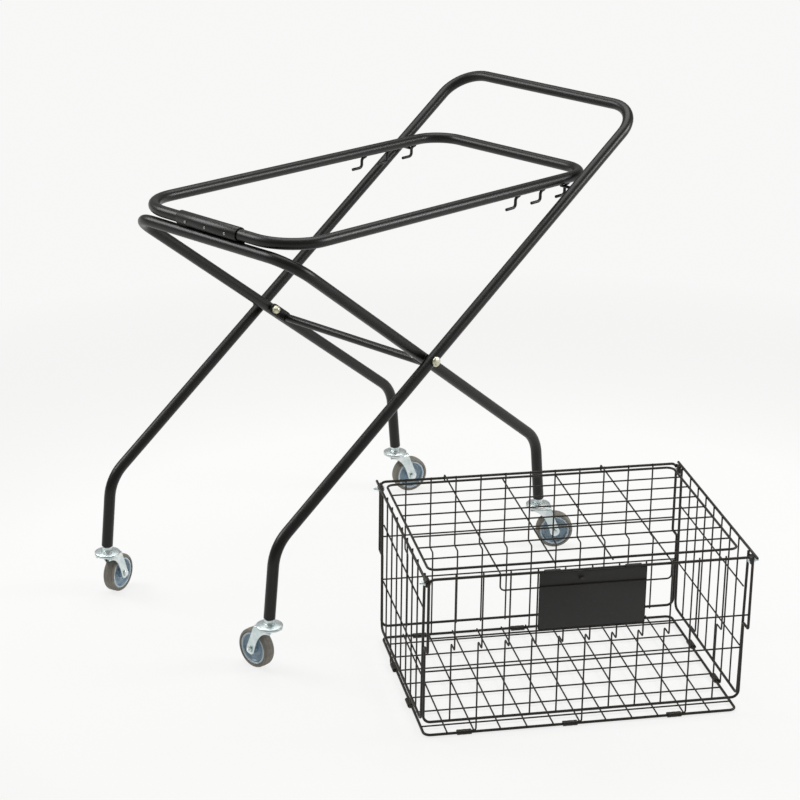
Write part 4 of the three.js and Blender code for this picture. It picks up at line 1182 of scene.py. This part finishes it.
class BuildTyres(bpy.types.Operator):
    """Mould the tyres with round shoulders and a parting line"""

    bl_idname = "ball_cart.tyres"
    bl_label = "Tyres"

    def execute(self, context):
        sizes = context.scene.ball_cart_casters
        half = sizes.width / 2
        outer = sizes.wheel / 2 - TYRE_SEAM
        seat = sizes.rim + SEAT_GAP
        lip = half - TYRE_LIP_SINK
        side = [(seat, lip - TYRE_LIP), (seat + TYRE_LIP, lip)]
        for step in range(TYRE_SHOULDER_STEPS + 1):
            angle = math.pi / 2 * step / TYRE_SHOULDER_STEPS
            side.append((outer - TYRE_SHOULDER * (1 - math.sin(angle)),
                         half - TYRE_SHOULDER * (1 - math.cos(angle))))
        side += [(outer, TYRE_SEAM * 2), (outer + TYRE_SEAM, 0)]
        tyre = turned(both_faces(side), TYRE_SIDES)
        four_of(lie_along_axle(tyre, sizes.wheel), "tyre_rubber", "tyre", "tyre")
        return {"FINISHED"}


class BuildAxles(bpy.types.Operator):
    """Make the axle bolts and nuts"""

    bl_idname = "ball_cart.axles"
    bl_label = "Axle bolts and nuts"

    def execute(self, context):
        sizes = context.scene.ball_cart_casters
        face = CHEEK_INNER + FORK_SHEET + SEAT_GAP
        height = AXLE_HEAD_HEIGHT
        radius = sizes.axle / 2
        end = face + height + AXLE_TIP
        head = hexagon(sizes.axle_head, height, -face - height)
        profile = [
            (radius, -face - height / 2), (radius, end - AXLE_TIP / 3), (radius * AXLE_TIP_SHARE, end),
        ]
        bolt = joined([head, turned(profile, SMALL_SIDES)])
        four_of(lie_along_axle(bolt, sizes.wheel), "axle_screw", "axle_bolt", "zinc")
        nut = hexagon(sizes.axle_head, height, face)
        four_of(lie_along_axle(nut, sizes.wheel), "axle_lock_nut", "axle_nut", "zinc")
        return {"FINISHED"}


# Basket axes in the model's frame, from the lid's hinge line
BASKET_ALONG = -Vector(JOINTS["lid_hinge"]["axis"])
BASKET_TURN = math.atan2(BASKET_ALONG.y, BASKET_ALONG.x)
BASKET_DEPTH = Vector((-BASKET_ALONG.y, BASKET_ALONG.x, 0))
BASKET_PLACE = Vector((LID_HINGE.x, LID_HINGE.y, 0)) - BASKET_DEPTH * UPPER_HALF_DEPTH


def on_basket(piece, name, body, nodes, slot):
    """The piece, made in the basket's axes, put in its place and finished."""
    placed(piece, BASKET_PLACE, (0, 0, BASKET_TURN))
    finished(piece, name, body, nodes, slot)


def thin_on_frame(sizes):
    """From the middle of a frame wire to that of a thin wire welded on it."""
    return sizes.frame_wire / 2 + sizes.thin_wire / 2 - sizes.weld_depth


def thin_on_thin(sizes):
    """From the middle of a thin wire to that of another welded across it."""
    return sizes.thin_wire - sizes.weld_depth


def end_rail_plane(sizes):
    """How far out the end panels' rails lie: just past the long panels' posts."""
    reach = over_corners(sizes.frame_wire, PACKED_WIRE_SIDES)
    return PANEL_HALF_LENGTH + reach + SEAT_GAP + sizes.frame_wire / 2


def corner_bolt_depth(sizes):
    """How far the corner bolts lie from the basket's middle, in depth."""
    return UPPER_HALF_DEPTH - sizes.frame_wire / 2 - LUG_SIZE / 2


def wire(sizes, *corners):
    """A thin straight or bent wire."""
    return bent_rod(corners, sizes.thin_wire, THIN_SIDES)


def flat_loop(diameter, left, right, front, back, height, radius):
    """A closed rod round a rectangle, at one height."""
    corners = [(left, front), (right, front), (right, back), (left, back)]
    return bent_rod([(x, y, height, radius) for x, y in corners], diameter, closed=True)


def both_ways(count):
    return range(-count, count + 1)


def lug(sizes, from_x, depth, side):
    """A small corner lug with rounded corners. The nuts cover its bolt hole."""
    inside = side * (corner_bolt_depth(sizes) - LUG_SIZE / 2)
    bottom = TOP_HEIGHT - LUG_DROP - LUG_SIZE / 2
    low = (from_x, min(inside, depth), bottom)
    high = (from_x + LUG_SHEET, max(inside, depth), TOP_HEIGHT)
    return sheet_block(low, high, LUG_CORNER)


class BuildLongPanels(bpy.types.Operator):
    """Weld the front and back panels, stepped in at half height"""

    bl_idname = "ball_cart.long_panels"
    bl_label = "Front and back panels"

    def execute(self, context):
        sizes = context.scene.ball_cart_basket
        for name, side in (("front", -1), ("back", 1)):
            on_basket(self.panel(sizes, side), f"{name}_wires", "basket", [f"{name}_panel"], "wire_paint")
        return {"FINISHED"}

    def panel(self, sizes, side):
        upper = side * UPPER_HALF_DEPTH
        lower = side * LOWER_HALF_DEPTH
        posts = [[
            (end * PANEL_HALF_LENGTH, upper, TOP_HEIGHT, PANEL_CORNER_RADIUS),
            (end * PANEL_HALF_LENGTH, upper, STEP_HEIGHT, STEP_RADIUS),
            (end * PANEL_HALF_LENGTH, lower, STEP_HEIGHT, STEP_RADIUS),
            (end * PANEL_HALF_LENGTH, lower, RAIL_HEIGHT, PANEL_FOOT_RADIUS),
        ] for end in (-1, 1)]
        pieces = [bent_rod(posts[0] + posts[1][::-1], sizes.frame_wire, closed=True)]
        inset = side * thin_on_frame(sizes)
        high = [(0, upper - inset, TOP_HEIGHT + UPRIGHT_STUB), (0, upper - inset, STEP_HEIGHT, STEP_RADIUS),
                (0, lower - inset, STEP_HEIGHT, STEP_RADIUS)]
        plain = wire(sizes, *high, (0, lower - inset, RAIL_HEIGHT - sizes.frame_wire / 2))
        tailed = wire(sizes, *high, (0, lower - inset, BASE_HEIGHT, STEP_RADIUS),
                      (-CLIP_OFFSET - CLIP_LENGTH, lower - inset, BASE_HEIGHT))
        places = {step: (step * UPRIGHT_SPACING, 0, 0) for step in both_ways(UPRIGHTS_EACH_SIDE)}
        pieces.append(row_of(plain, [place for step, place in places.items() if step not in TAIL_UPRIGHTS]))
        pieces.append(row_of(tailed, [places[step] for step in TAIL_UPRIGHTS]))
        for height, face in ((UPPER_BAND_HEIGHT, upper), (LOWER_BAND_HEIGHT, lower)):
            depth = face - inset + side * thin_on_thin(sizes)
            ends = [(x, depth, height) for x in (-PANEL_HALF_LENGTH, PANEL_HALF_LENGTH)]
            pieces.append(wire(sizes, *ends))
        for end in (-1, 1):
            pieces.append(lug(sizes, end * PANEL_HALF_LENGTH - LUG_SHEET / 2, upper, side))
        return joined(pieces)


class BuildEndPanels(bpy.types.Operator):
    """Weld the left and right ends, whose rails run past the corners"""

    bl_idname = "ball_cart.end_panels"
    bl_label = "End panels"

    def execute(self, context):
        sizes = context.scene.ball_cart_basket
        for name, end in (("left", -1), ("right", 1)):
            on_basket(self.panel(sizes, end), f"{name}_wires", "basket", [f"{name}_panel"], "wire_paint")
        return {"FINISHED"}

    def panel(self, sizes, end):
        rail_plane = end_rail_plane(sizes)
        upright_plane = rail_plane - thin_on_frame(sizes)
        band_plane = upright_plane - thin_on_thin(sizes)
        plane = end * (rail_plane - sizes.frame_wire + 2 * sizes.weld_depth)
        pieces = [bent_rod([
            (plane, -END_POST_TOP_HALF_DEPTH, TOP_HEIGHT),
            (plane, -END_POST_FOOT_HALF_DEPTH, RAIL_HEIGHT, PANEL_FOOT_RADIUS),
            (plane, END_POST_FOOT_HALF_DEPTH, RAIL_HEIGHT, PANEL_FOOT_RADIUS),
            (plane, END_POST_TOP_HALF_DEPTH, TOP_HEIGHT),
        ], sizes.frame_wire)]
        reach = UPPER_HALF_DEPTH + END_RAIL_OVERHANG
        rail = bent_rod([(end * rail_plane, y, TOP_HEIGHT) for y in (-reach, reach)], sizes.frame_wire)
        pieces.append(rounded(rail, END_RAIL_ROUND))
        x = end * upright_plane
        for step in both_ways(END_UPRIGHTS_EACH_SIDE):
            y = step * END_UPRIGHT_SPACING
            top = (x, y, TOP_HEIGHT + sizes.frame_wire / 2)
            if step in TAIL_END_UPRIGHTS:
                tail = y + math.copysign(CLIP_OFFSET + CLIP_LENGTH, -step)
                pieces.append(wire(sizes, top, (x, y, BASE_HEIGHT, STEP_RADIUS), (x, tail, BASE_HEIGHT)))
            else:
                pieces.append(wire(sizes, top, (x, y, RAIL_HEIGHT)))
        for height in (END_BAND_HEIGHT, LOWER_BAND_HEIGHT):
            ends = [(end * band_plane, way * END_POST_FOOT_HALF_DEPTH, height) for way in (-1, 1)]
            pieces.append(wire(sizes, *ends))
        lug_plane = PANEL_HALF_LENGTH + LUG_SHEET / 2 + SEAT_GAP
        for side in (-1, 1):
            depth = side * (UPPER_HALF_DEPTH - sizes.frame_wire / 2 - SEAT_GAP)
            pieces.append(lug(sizes, lug_plane if end > 0 else -lug_plane - LUG_SHEET, depth, side))
        return joined(pieces)


class BuildFloor(bpy.types.Operator):
    """Weld the basket's floor of crossed wires in its loop"""

    bl_idname = "ball_cart.basket_floor"
    bl_label = "Basket floor"

    def execute(self, context):
        sizes = context.scene.ball_cart_basket
        reach = over_corners(sizes.frame_wire, PACKED_WIRE_SIDES)
        half_depth = LOWER_HALF_DEPTH - thin_on_frame(sizes) + sizes.thin_wire / 2 + SEAT_GAP + reach
        half_length = end_rail_plane(sizes) - thin_on_frame(sizes) - sizes.thin_wire / 2 - SEAT_GAP - reach
        pieces = [flat_loop(sizes.frame_wire, -half_length, half_length, -half_depth, half_depth, BASE_HEIGHT,
                            BASE_CORNER_RADIUS)]
        above = BASE_HEIGHT + thin_on_frame(sizes)
        past = half_depth + WIRE_OVERHANG
        depth_wire = wire(sizes, (FLOOR_WIRE_SHIFT, -past, above), (FLOOR_WIRE_SHIFT, past, above))
        offsets = [(step * UPRIGHT_SPACING, 0, 0) for step in both_ways(UPRIGHTS_EACH_SIDE)]
        pieces.append(row_of(depth_wire, offsets))
        below = above - thin_on_thin(sizes)
        long_wire = wire(sizes, (-half_length, 0, below), (half_length, 0, below))
        offsets = [(0, step * FLOOR_WIRE_SPACING, 0) for step in both_ways(FLOOR_WIRES_EACH_SIDE)]
        pieces.append(row_of(long_wire, offsets))
        on_basket(joined(pieces), "floor_wires", "basket", ["base_grid"], "wire_paint")
        return {"FINISHED"}


class BuildClips(bpy.types.Operator):
    """Crimp the sheet clips that tie the panels' tails to the floor's loop"""

    bl_idname = "ball_cart.clips"
    bl_label = "Clips"

    def execute(self, context):
        nodes = [node for node in frame["nodes"] if node.startswith("clip_")]
        shell = self.shell(self.width(nodes[0]), 2 * BASE_HEIGHT)
        for node in nodes:
            low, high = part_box(node)
            across = node.startswith(("clip_left", "clip_right"))
            turn = BASKET_TURN + (math.pi / 2 if across else 0)
            clip = copied(shell, (low + high) / 2, (0, 0, turn))
            finished(clip, f"{node}_sheet", "basket", [node], "wire_paint")
        bpy.data.objects.remove(shell)
        return {"FINISHED"}

    def width(self, node):
        """The clip's width, from its turned box and its length"""
        low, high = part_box(node)
        return (high.x - low.x - CLIP_LENGTH * abs(math.cos(BASKET_TURN))) / abs(math.sin(BASKET_TURN))

    def shell(self, width, height):
        """An oval sleeve, pinched twice along its length"""
        deselect()
        bpy.ops.mesh.primitive_circle_add(vertices=OVAL_SIDES, radius=height / 2 - CLIP_SHEET / 2,
                                          rotation=(0, math.pi / 2, 0), location=(-CLIP_LENGTH / 2, 0, 0))
        shell = fix_place(bpy.context.object)
        spread = width / 2 - height / 2
        for vertex in shell.data.vertices:
            if abs(vertex.co.y) > MERGE:
                vertex.co.y += math.copysign(spread, vertex.co.y)
        edit(shell)
        shares = (0.06, 0.20, 0.30, 0.40, 0.60, 0.70, 0.80, 0.94, 1.0)
        pinches = (0.98, 1.0, 0.90, 1.0, 1.0, 0.90, 1.0, 0.98, 0.98)
        done = 0
        size = pinches[0]
        bpy.ops.transform.resize(value=(1, size, size), center_override=(0, 0, 0))
        for share, pinch in zip(shares, pinches):
            extrude(((share - done) * CLIP_LENGTH, 0, 0))
            bpy.ops.transform.resize(value=(1, 1, pinch / size), center_override=(0, 0, 0))
            done = share
            size = pinch
        outward()
        modified(shell, "SOLIDIFY", thickness=CLIP_SHEET, offset=0)
        return rounded(shell, CLIP_SHEET / 6, segments=1, angle=60)


class BuildCornerBolts(bpy.types.Operator):
    """Make the corner bolts, whose threads stand out past their nuts"""

    bl_idname = "ball_cart.corner_bolts"
    bl_label = "Corner bolts"

    def execute(self, context):
        sizes = context.scene.ball_cart_basket
        head = PANEL_HALF_LENGTH - LUG_SHEET / 2 - SEAT_GAP
        seat = PANEL_HALF_LENGTH + LUG_SHEET * 1.5 + SEAT_GAP * 2
        nut = CORNER_NUT_HEIGHT
        stretch = nut + CORNER_BOLT_TIP
        radius = sizes.corner_bolt / 2
        profile = [(radius * THREAD_START_SHARE, head - nut / 2)]
        for turn in range(int(stretch / THREAD_PITCH)):
            crest = seat + turn * THREAD_PITCH
            profile += [(radius, crest), (radius * THREAD_ROOT_SHARE, crest + THREAD_PITCH / 2)]
        profile.append((radius * THREAD_TIP_SHARE, seat + stretch))
        shank = turned(profile, THREAD_SIDES)
        hexagons = [hexagon(sizes.corner_flats, nut, bottom) for bottom in (head - nut, seat)]
        bolt = joined([*hexagons, shank])
        for end, end_name in ((-1, "left"), (1, "right")):
            for side, side_name in ((-1, "front"), (1, "back")):
                node = f"corner_bolt_{side_name}_{end_name}"
                place = (0, side * corner_bolt_depth(sizes), TOP_HEIGHT - LUG_DROP)
                piece = copied(bolt, place, (0, end * math.pi / 2, 0))
                on_basket(piece, f"{node}_thread", "basket", [node], "zinc")
        bpy.data.objects.remove(bolt)
        return {"FINISHED"}


class BuildLid(bpy.types.Operator):
    """Weld the lid, whose two hooked wires turn on the back rail and meet in a tongue"""

    bl_idname = "ball_cart.lid"
    bl_label = "Lid"

    def execute(self, context):
        sizes = context.scene.ball_cart_basket
        hook = over_corners(sizes.frame_wire, PACKED_WIRE_SIDES) + LID_HOOK_CLEARANCE + sizes.thin_wire / 2
        height = TOP_HEIGHT + hook
        frame_height = height + sizes.thin_wire / 2 + sizes.lid_wire / 2 - sizes.weld_depth
        pieces = [flat_loop(sizes.lid_wire, LID_LEFT, LID_RIGHT, LID_FRONT, LID_BACK, frame_height,
                            LID_CORNER_RADIUS)]
        spacing = (LID_BACK - LID_FRONT) / (LID_LONG_WIRES + 1)
        above = height + thin_on_thin(sizes)
        long_wire = wire(sizes, (LID_LEFT, LID_FRONT, above), (LID_RIGHT, LID_FRONT, above))
        pieces.append(row_of(long_wire, [(0, (index + 1) * spacing, 0) for index in range(LID_LONG_WIRES)]))
        plate_face = -UPPER_HALF_DEPTH - sizes.frame_wire / 2 - 2 * SEAT_GAP - sizes.plate_sheet
        front = plate_face - sizes.thin_wire / 2
        arms = [[
            (x, UPPER_HALF_DEPTH - hook, TOP_HEIGHT - hook),
            (x, UPPER_HALF_DEPTH + hook, TOP_HEIGHT - hook, hook),
            (x, UPPER_HALF_DEPTH + hook, height, hook),
            (x, front, height, TONGUE_BEND_RADIUS),
            (x, front, height - TONGUE_DEPTH, TONGUE_CORNER_RADIUS),
        ] for x in LID_HOOK_SIDES]
        pieces.append(wire(sizes, *arms[0], *arms[1][::-1]))
        for x in LID_INNER_WIRES:
            ends = [(x, y, height) for y in (LID_FRONT - WIRE_OVERHANG, LID_BACK + WIRE_OVERHANG)]
            pieces.append(wire(sizes, *ends))
        on_basket(joined(pieces), "lid_wires", "lid", ["lid"], "wire_paint")
        return {"FINISHED"}


class BuildPlate(bpy.types.Operator):
    """Cut and fold the bare sign plate, with its two tabs over the front rail"""

    bl_idname = "ball_cart.plate"
    bl_label = "Sign plate"

    def execute(self, context):
        sizes = context.scene.ball_cart_basket
        sheet = sizes.plate_sheet
        middle = -UPPER_HALF_DEPTH - sizes.frame_wire / 2 - SEAT_GAP - sheet / 2
        face = sheet_block((-PLATE_HALF_WIDTH, middle - sheet / 2, PLATE_BOTTOM),
                           (PLATE_HALF_WIDTH, middle + sheet / 2, TOP_HEIGHT), PLATE_CORNER)
        self.slot(face, middle)
        tabs = [self.tab(sheet, side, middle) for side in (-1, 1)]
        on_basket(joined([face, *tabs]), "sign_sheet", "basket", ["sign_plate"], "plate_paint")
        return {"FINISHED"}

    def slot(self, face, middle):
        """A small oval slot through the plate"""
        deselect()
        bpy.ops.mesh.primitive_cylinder_add(vertices=OVAL_SIDES, radius=0.5, depth=SLOT_CUT_DEPTH,
                                            rotation=(math.pi / 2, 0, 0))
        cutter = fix_place(bpy.context.object)
        cutter.scale = (SLOT_WIDTH, 1, SLOT_HEIGHT)
        cutter.location = (SLOT_SIDE, middle, TOP_HEIGHT - SLOT_DROP)
        fix_place(cutter)
        modified(face, "BOOLEAN", object=cutter, operation="DIFFERENCE", solver="EXACT")
        bpy.data.objects.remove(cutter)

    def tab(self, sheet, side, middle):
        """A strip that rises from the plate, passes over the rail and hangs behind it"""
        along = side * PLATE_TAB_SIDE
        strip = flat_sheet(lambda x, y: (along + math.copysign(PLATE_TAB_WIDTH / 2, x), middle,
                                         TOP_HEIGHT if y > 0 else TOP_HEIGHT - sheet))
        choose(strip, "vertices", lambda vertex: vertex.co.z > TOP_HEIGHT - MERGE)
        bpy.ops.mesh.spin(steps=10, angle=math.pi, center=(0, -UPPER_HALF_DEPTH, TOP_HEIGHT), axis=(1, 0, 0))
        extrude((0, 0, -PLATE_TAB_DROP))
        outward()
        modified(strip, "SOLIDIFY", thickness=sheet, offset=0)
        return rounded(strip, SHEET_EDGE, segments=1)


class BuildStage(bpy.types.Operator):
    """Set the pale floor, the soft lights and the camera"""

    bl_idname = "ball_cart.stage"
    bl_label = "Floor, lights and camera"

    def execute(self, context):
        stage = context.scene.ball_cart_stage
        self.floor(stage, tuple(context.scene.ball_cart_colours.floor))
        self.sky(stage)
        self.lights(stage)
        self.camera(stage)
        context.scene.view_settings.view_transform = "Standard"
        return {"FINISHED"}

    def floor(self, stage, shade):
        """A pale floor: the camera and mirrors see its brightness; near the object its colour is painted nearly
        black and they see a share of it, a painted shade round the object with a faint real shadow
        """
        deselect()
        bpy.ops.mesh.primitive_plane_add(size=FLOOR_SIZE)
        floor = bpy.context.object
        floor.name = "studio_floor"
        finish = Finish("studio_floor", Roughness=0.9, Specular_IOR_Level=0.0)
        distance = finish.node("ShaderNodeVectorMath", {"operation": "LENGTH"}, {0: finish.place()}, "Value")
        stops = ((FLOOR_NEAR / FLOOR_SPAN, 1), (FLOOR_FAR / FLOOR_SPAN, 0))
        near = finish.ramp(distance * (1 / FLOOR_SPAN), *stops)
        # Painted shade: near the object the floor's colour is nearly black
        finish.surface(Base_Color=finish.mix(near, lighter(shade, FLOOR_PAINTED_SHADE), shade))
        glow = {"Color": (*shade, 1), "Strength": stage.background / shade[0]}
        pale = finish.node("ShaderNodeEmission", {}, glow)
        rays = [finish.node("ShaderNodeLightPath", {}, {}, f"Is {kind} Ray")
                for kind in ("Camera", "Glossy", "Transmission")]
        # Near the object a share of the dark lit floor replaces the pale glow: painted shade round the object,
        # with a faint real shadow
        shown = (rays[0] + rays[1] + rays[2]) * (1.0 - near * SHADOW_AND_PAINTED_SHADE_SHARE)
        lit = Signal(finish, finish.shader.outputs[0])
        mixed = finish.node("ShaderNodeMixShader", {}, {0: shown, 1: lit, 2: pale})
        finish.feed(finish.nodes["Material Output"].inputs["Surface"], mixed)
        floor.data.materials.append(finish.material)

    def sky(self, stage):
        world = bpy.data.worlds.new("studio")
        world.use_nodes = True
        sky = world.node_tree.nodes["Background"].inputs
        sky["Color"].default_value = SKY_COLOUR
        sky["Strength"].default_value = stage.sky
        bpy.context.scene.world = world

    def lights(self, stage):
        deselect()
        for name, (place, size) in LIGHTS.items():
            bpy.ops.object.light_add(type="AREA", location=place)
            light = bpy.context.object
            light.name = name
            light.data.size = size
            light.data.energy = getattr(stage, f"{name}_power")
            light.rotation_euler = (LIGHT_AIM - light.location).to_track_quat("-Z", "Y").to_euler()

    def camera(self, stage):
        turn = (Matrix.Rotation(-stage.yaw, 3, "Z") @ Matrix.Rotation(math.pi / 2 - stage.pitch, 3, "X")
                @ Matrix.Rotation(stage.roll, 3, "Z"))
        level = math.cos(stage.pitch)
        forward = Vector((math.sin(stage.yaw) * level, math.cos(stage.yaw) * level, -math.sin(stage.pitch)))
        target = PIVOT + Vector(stage.target)
        bpy.ops.object.camera_add(location=target - forward * stage.distance, rotation=turn.to_euler())
        camera = bpy.context.object
        camera.data.lens = stage.lens
        camera.data.sensor_width = SENSOR_WIDTH
        bpy.context.scene.camera = camera


GROUPS = {
    "ball_cart_sizes": CartSizes,
    "ball_cart_casters": CasterSizes,
    "ball_cart_basket": BasketSizes,
    "ball_cart_colours": FinishColours,
    "ball_cart_stage": StageSettings,
}
OPERATORS = (
    BuildStage, BuildFinishes, BuildHandleFrame, BuildSupportFrame, BuildCrossBar, BuildRing,
    BuildHingeSleeve, BuildPivots, BuildStems, BuildForks, BuildWheels, BuildTyres, BuildAxles,
    BuildLongPanels, BuildEndPanels, BuildFloor, BuildClips, BuildCornerBolts, BuildLid, BuildPlate,
)


class BallCartPanel(bpy.types.Panel):
    """The cart's pieces in the sidebar"""

    bl_idname = "VIEW3D_PT_ball_cart"
    bl_label = "Ball cart"
    bl_space_type = "VIEW_3D"
    bl_region_type = "UI"
    bl_category = "Ball cart"

    def draw(self, context):
        for operator in OPERATORS:
            self.layout.operator(operator.bl_idname)
        for name, group in GROUPS.items():
            box = self.layout.box()
            box.label(text=group.__doc__)
            for field in group.__annotations__:
                box.prop(getattr(context.scene, name), field)


def register():
    for group in GROUPS.values():
        bpy.utils.register_class(group)
    for name, group in GROUPS.items():
        setattr(bpy.types.Scene, name, bpy.props.PointerProperty(type=group))
    for operator in OPERATORS:
        bpy.utils.register_class(operator)
    bpy.utils.register_class(BallCartPanel)


def unregister():
    bpy.utils.unregister_class(BallCartPanel)
    for operator in reversed(OPERATORS):
        bpy.utils.unregister_class(operator)
    for name, group in GROUPS.items():
        delattr(bpy.types.Scene, name)
        bpy.utils.unregister_class(group)


def main():
    register()
    for operator in OPERATORS:
        group, name = operator.bl_idname.split(".")
        getattr(getattr(bpy.ops, group), name)()


if __name__ == "__main__":
    main()
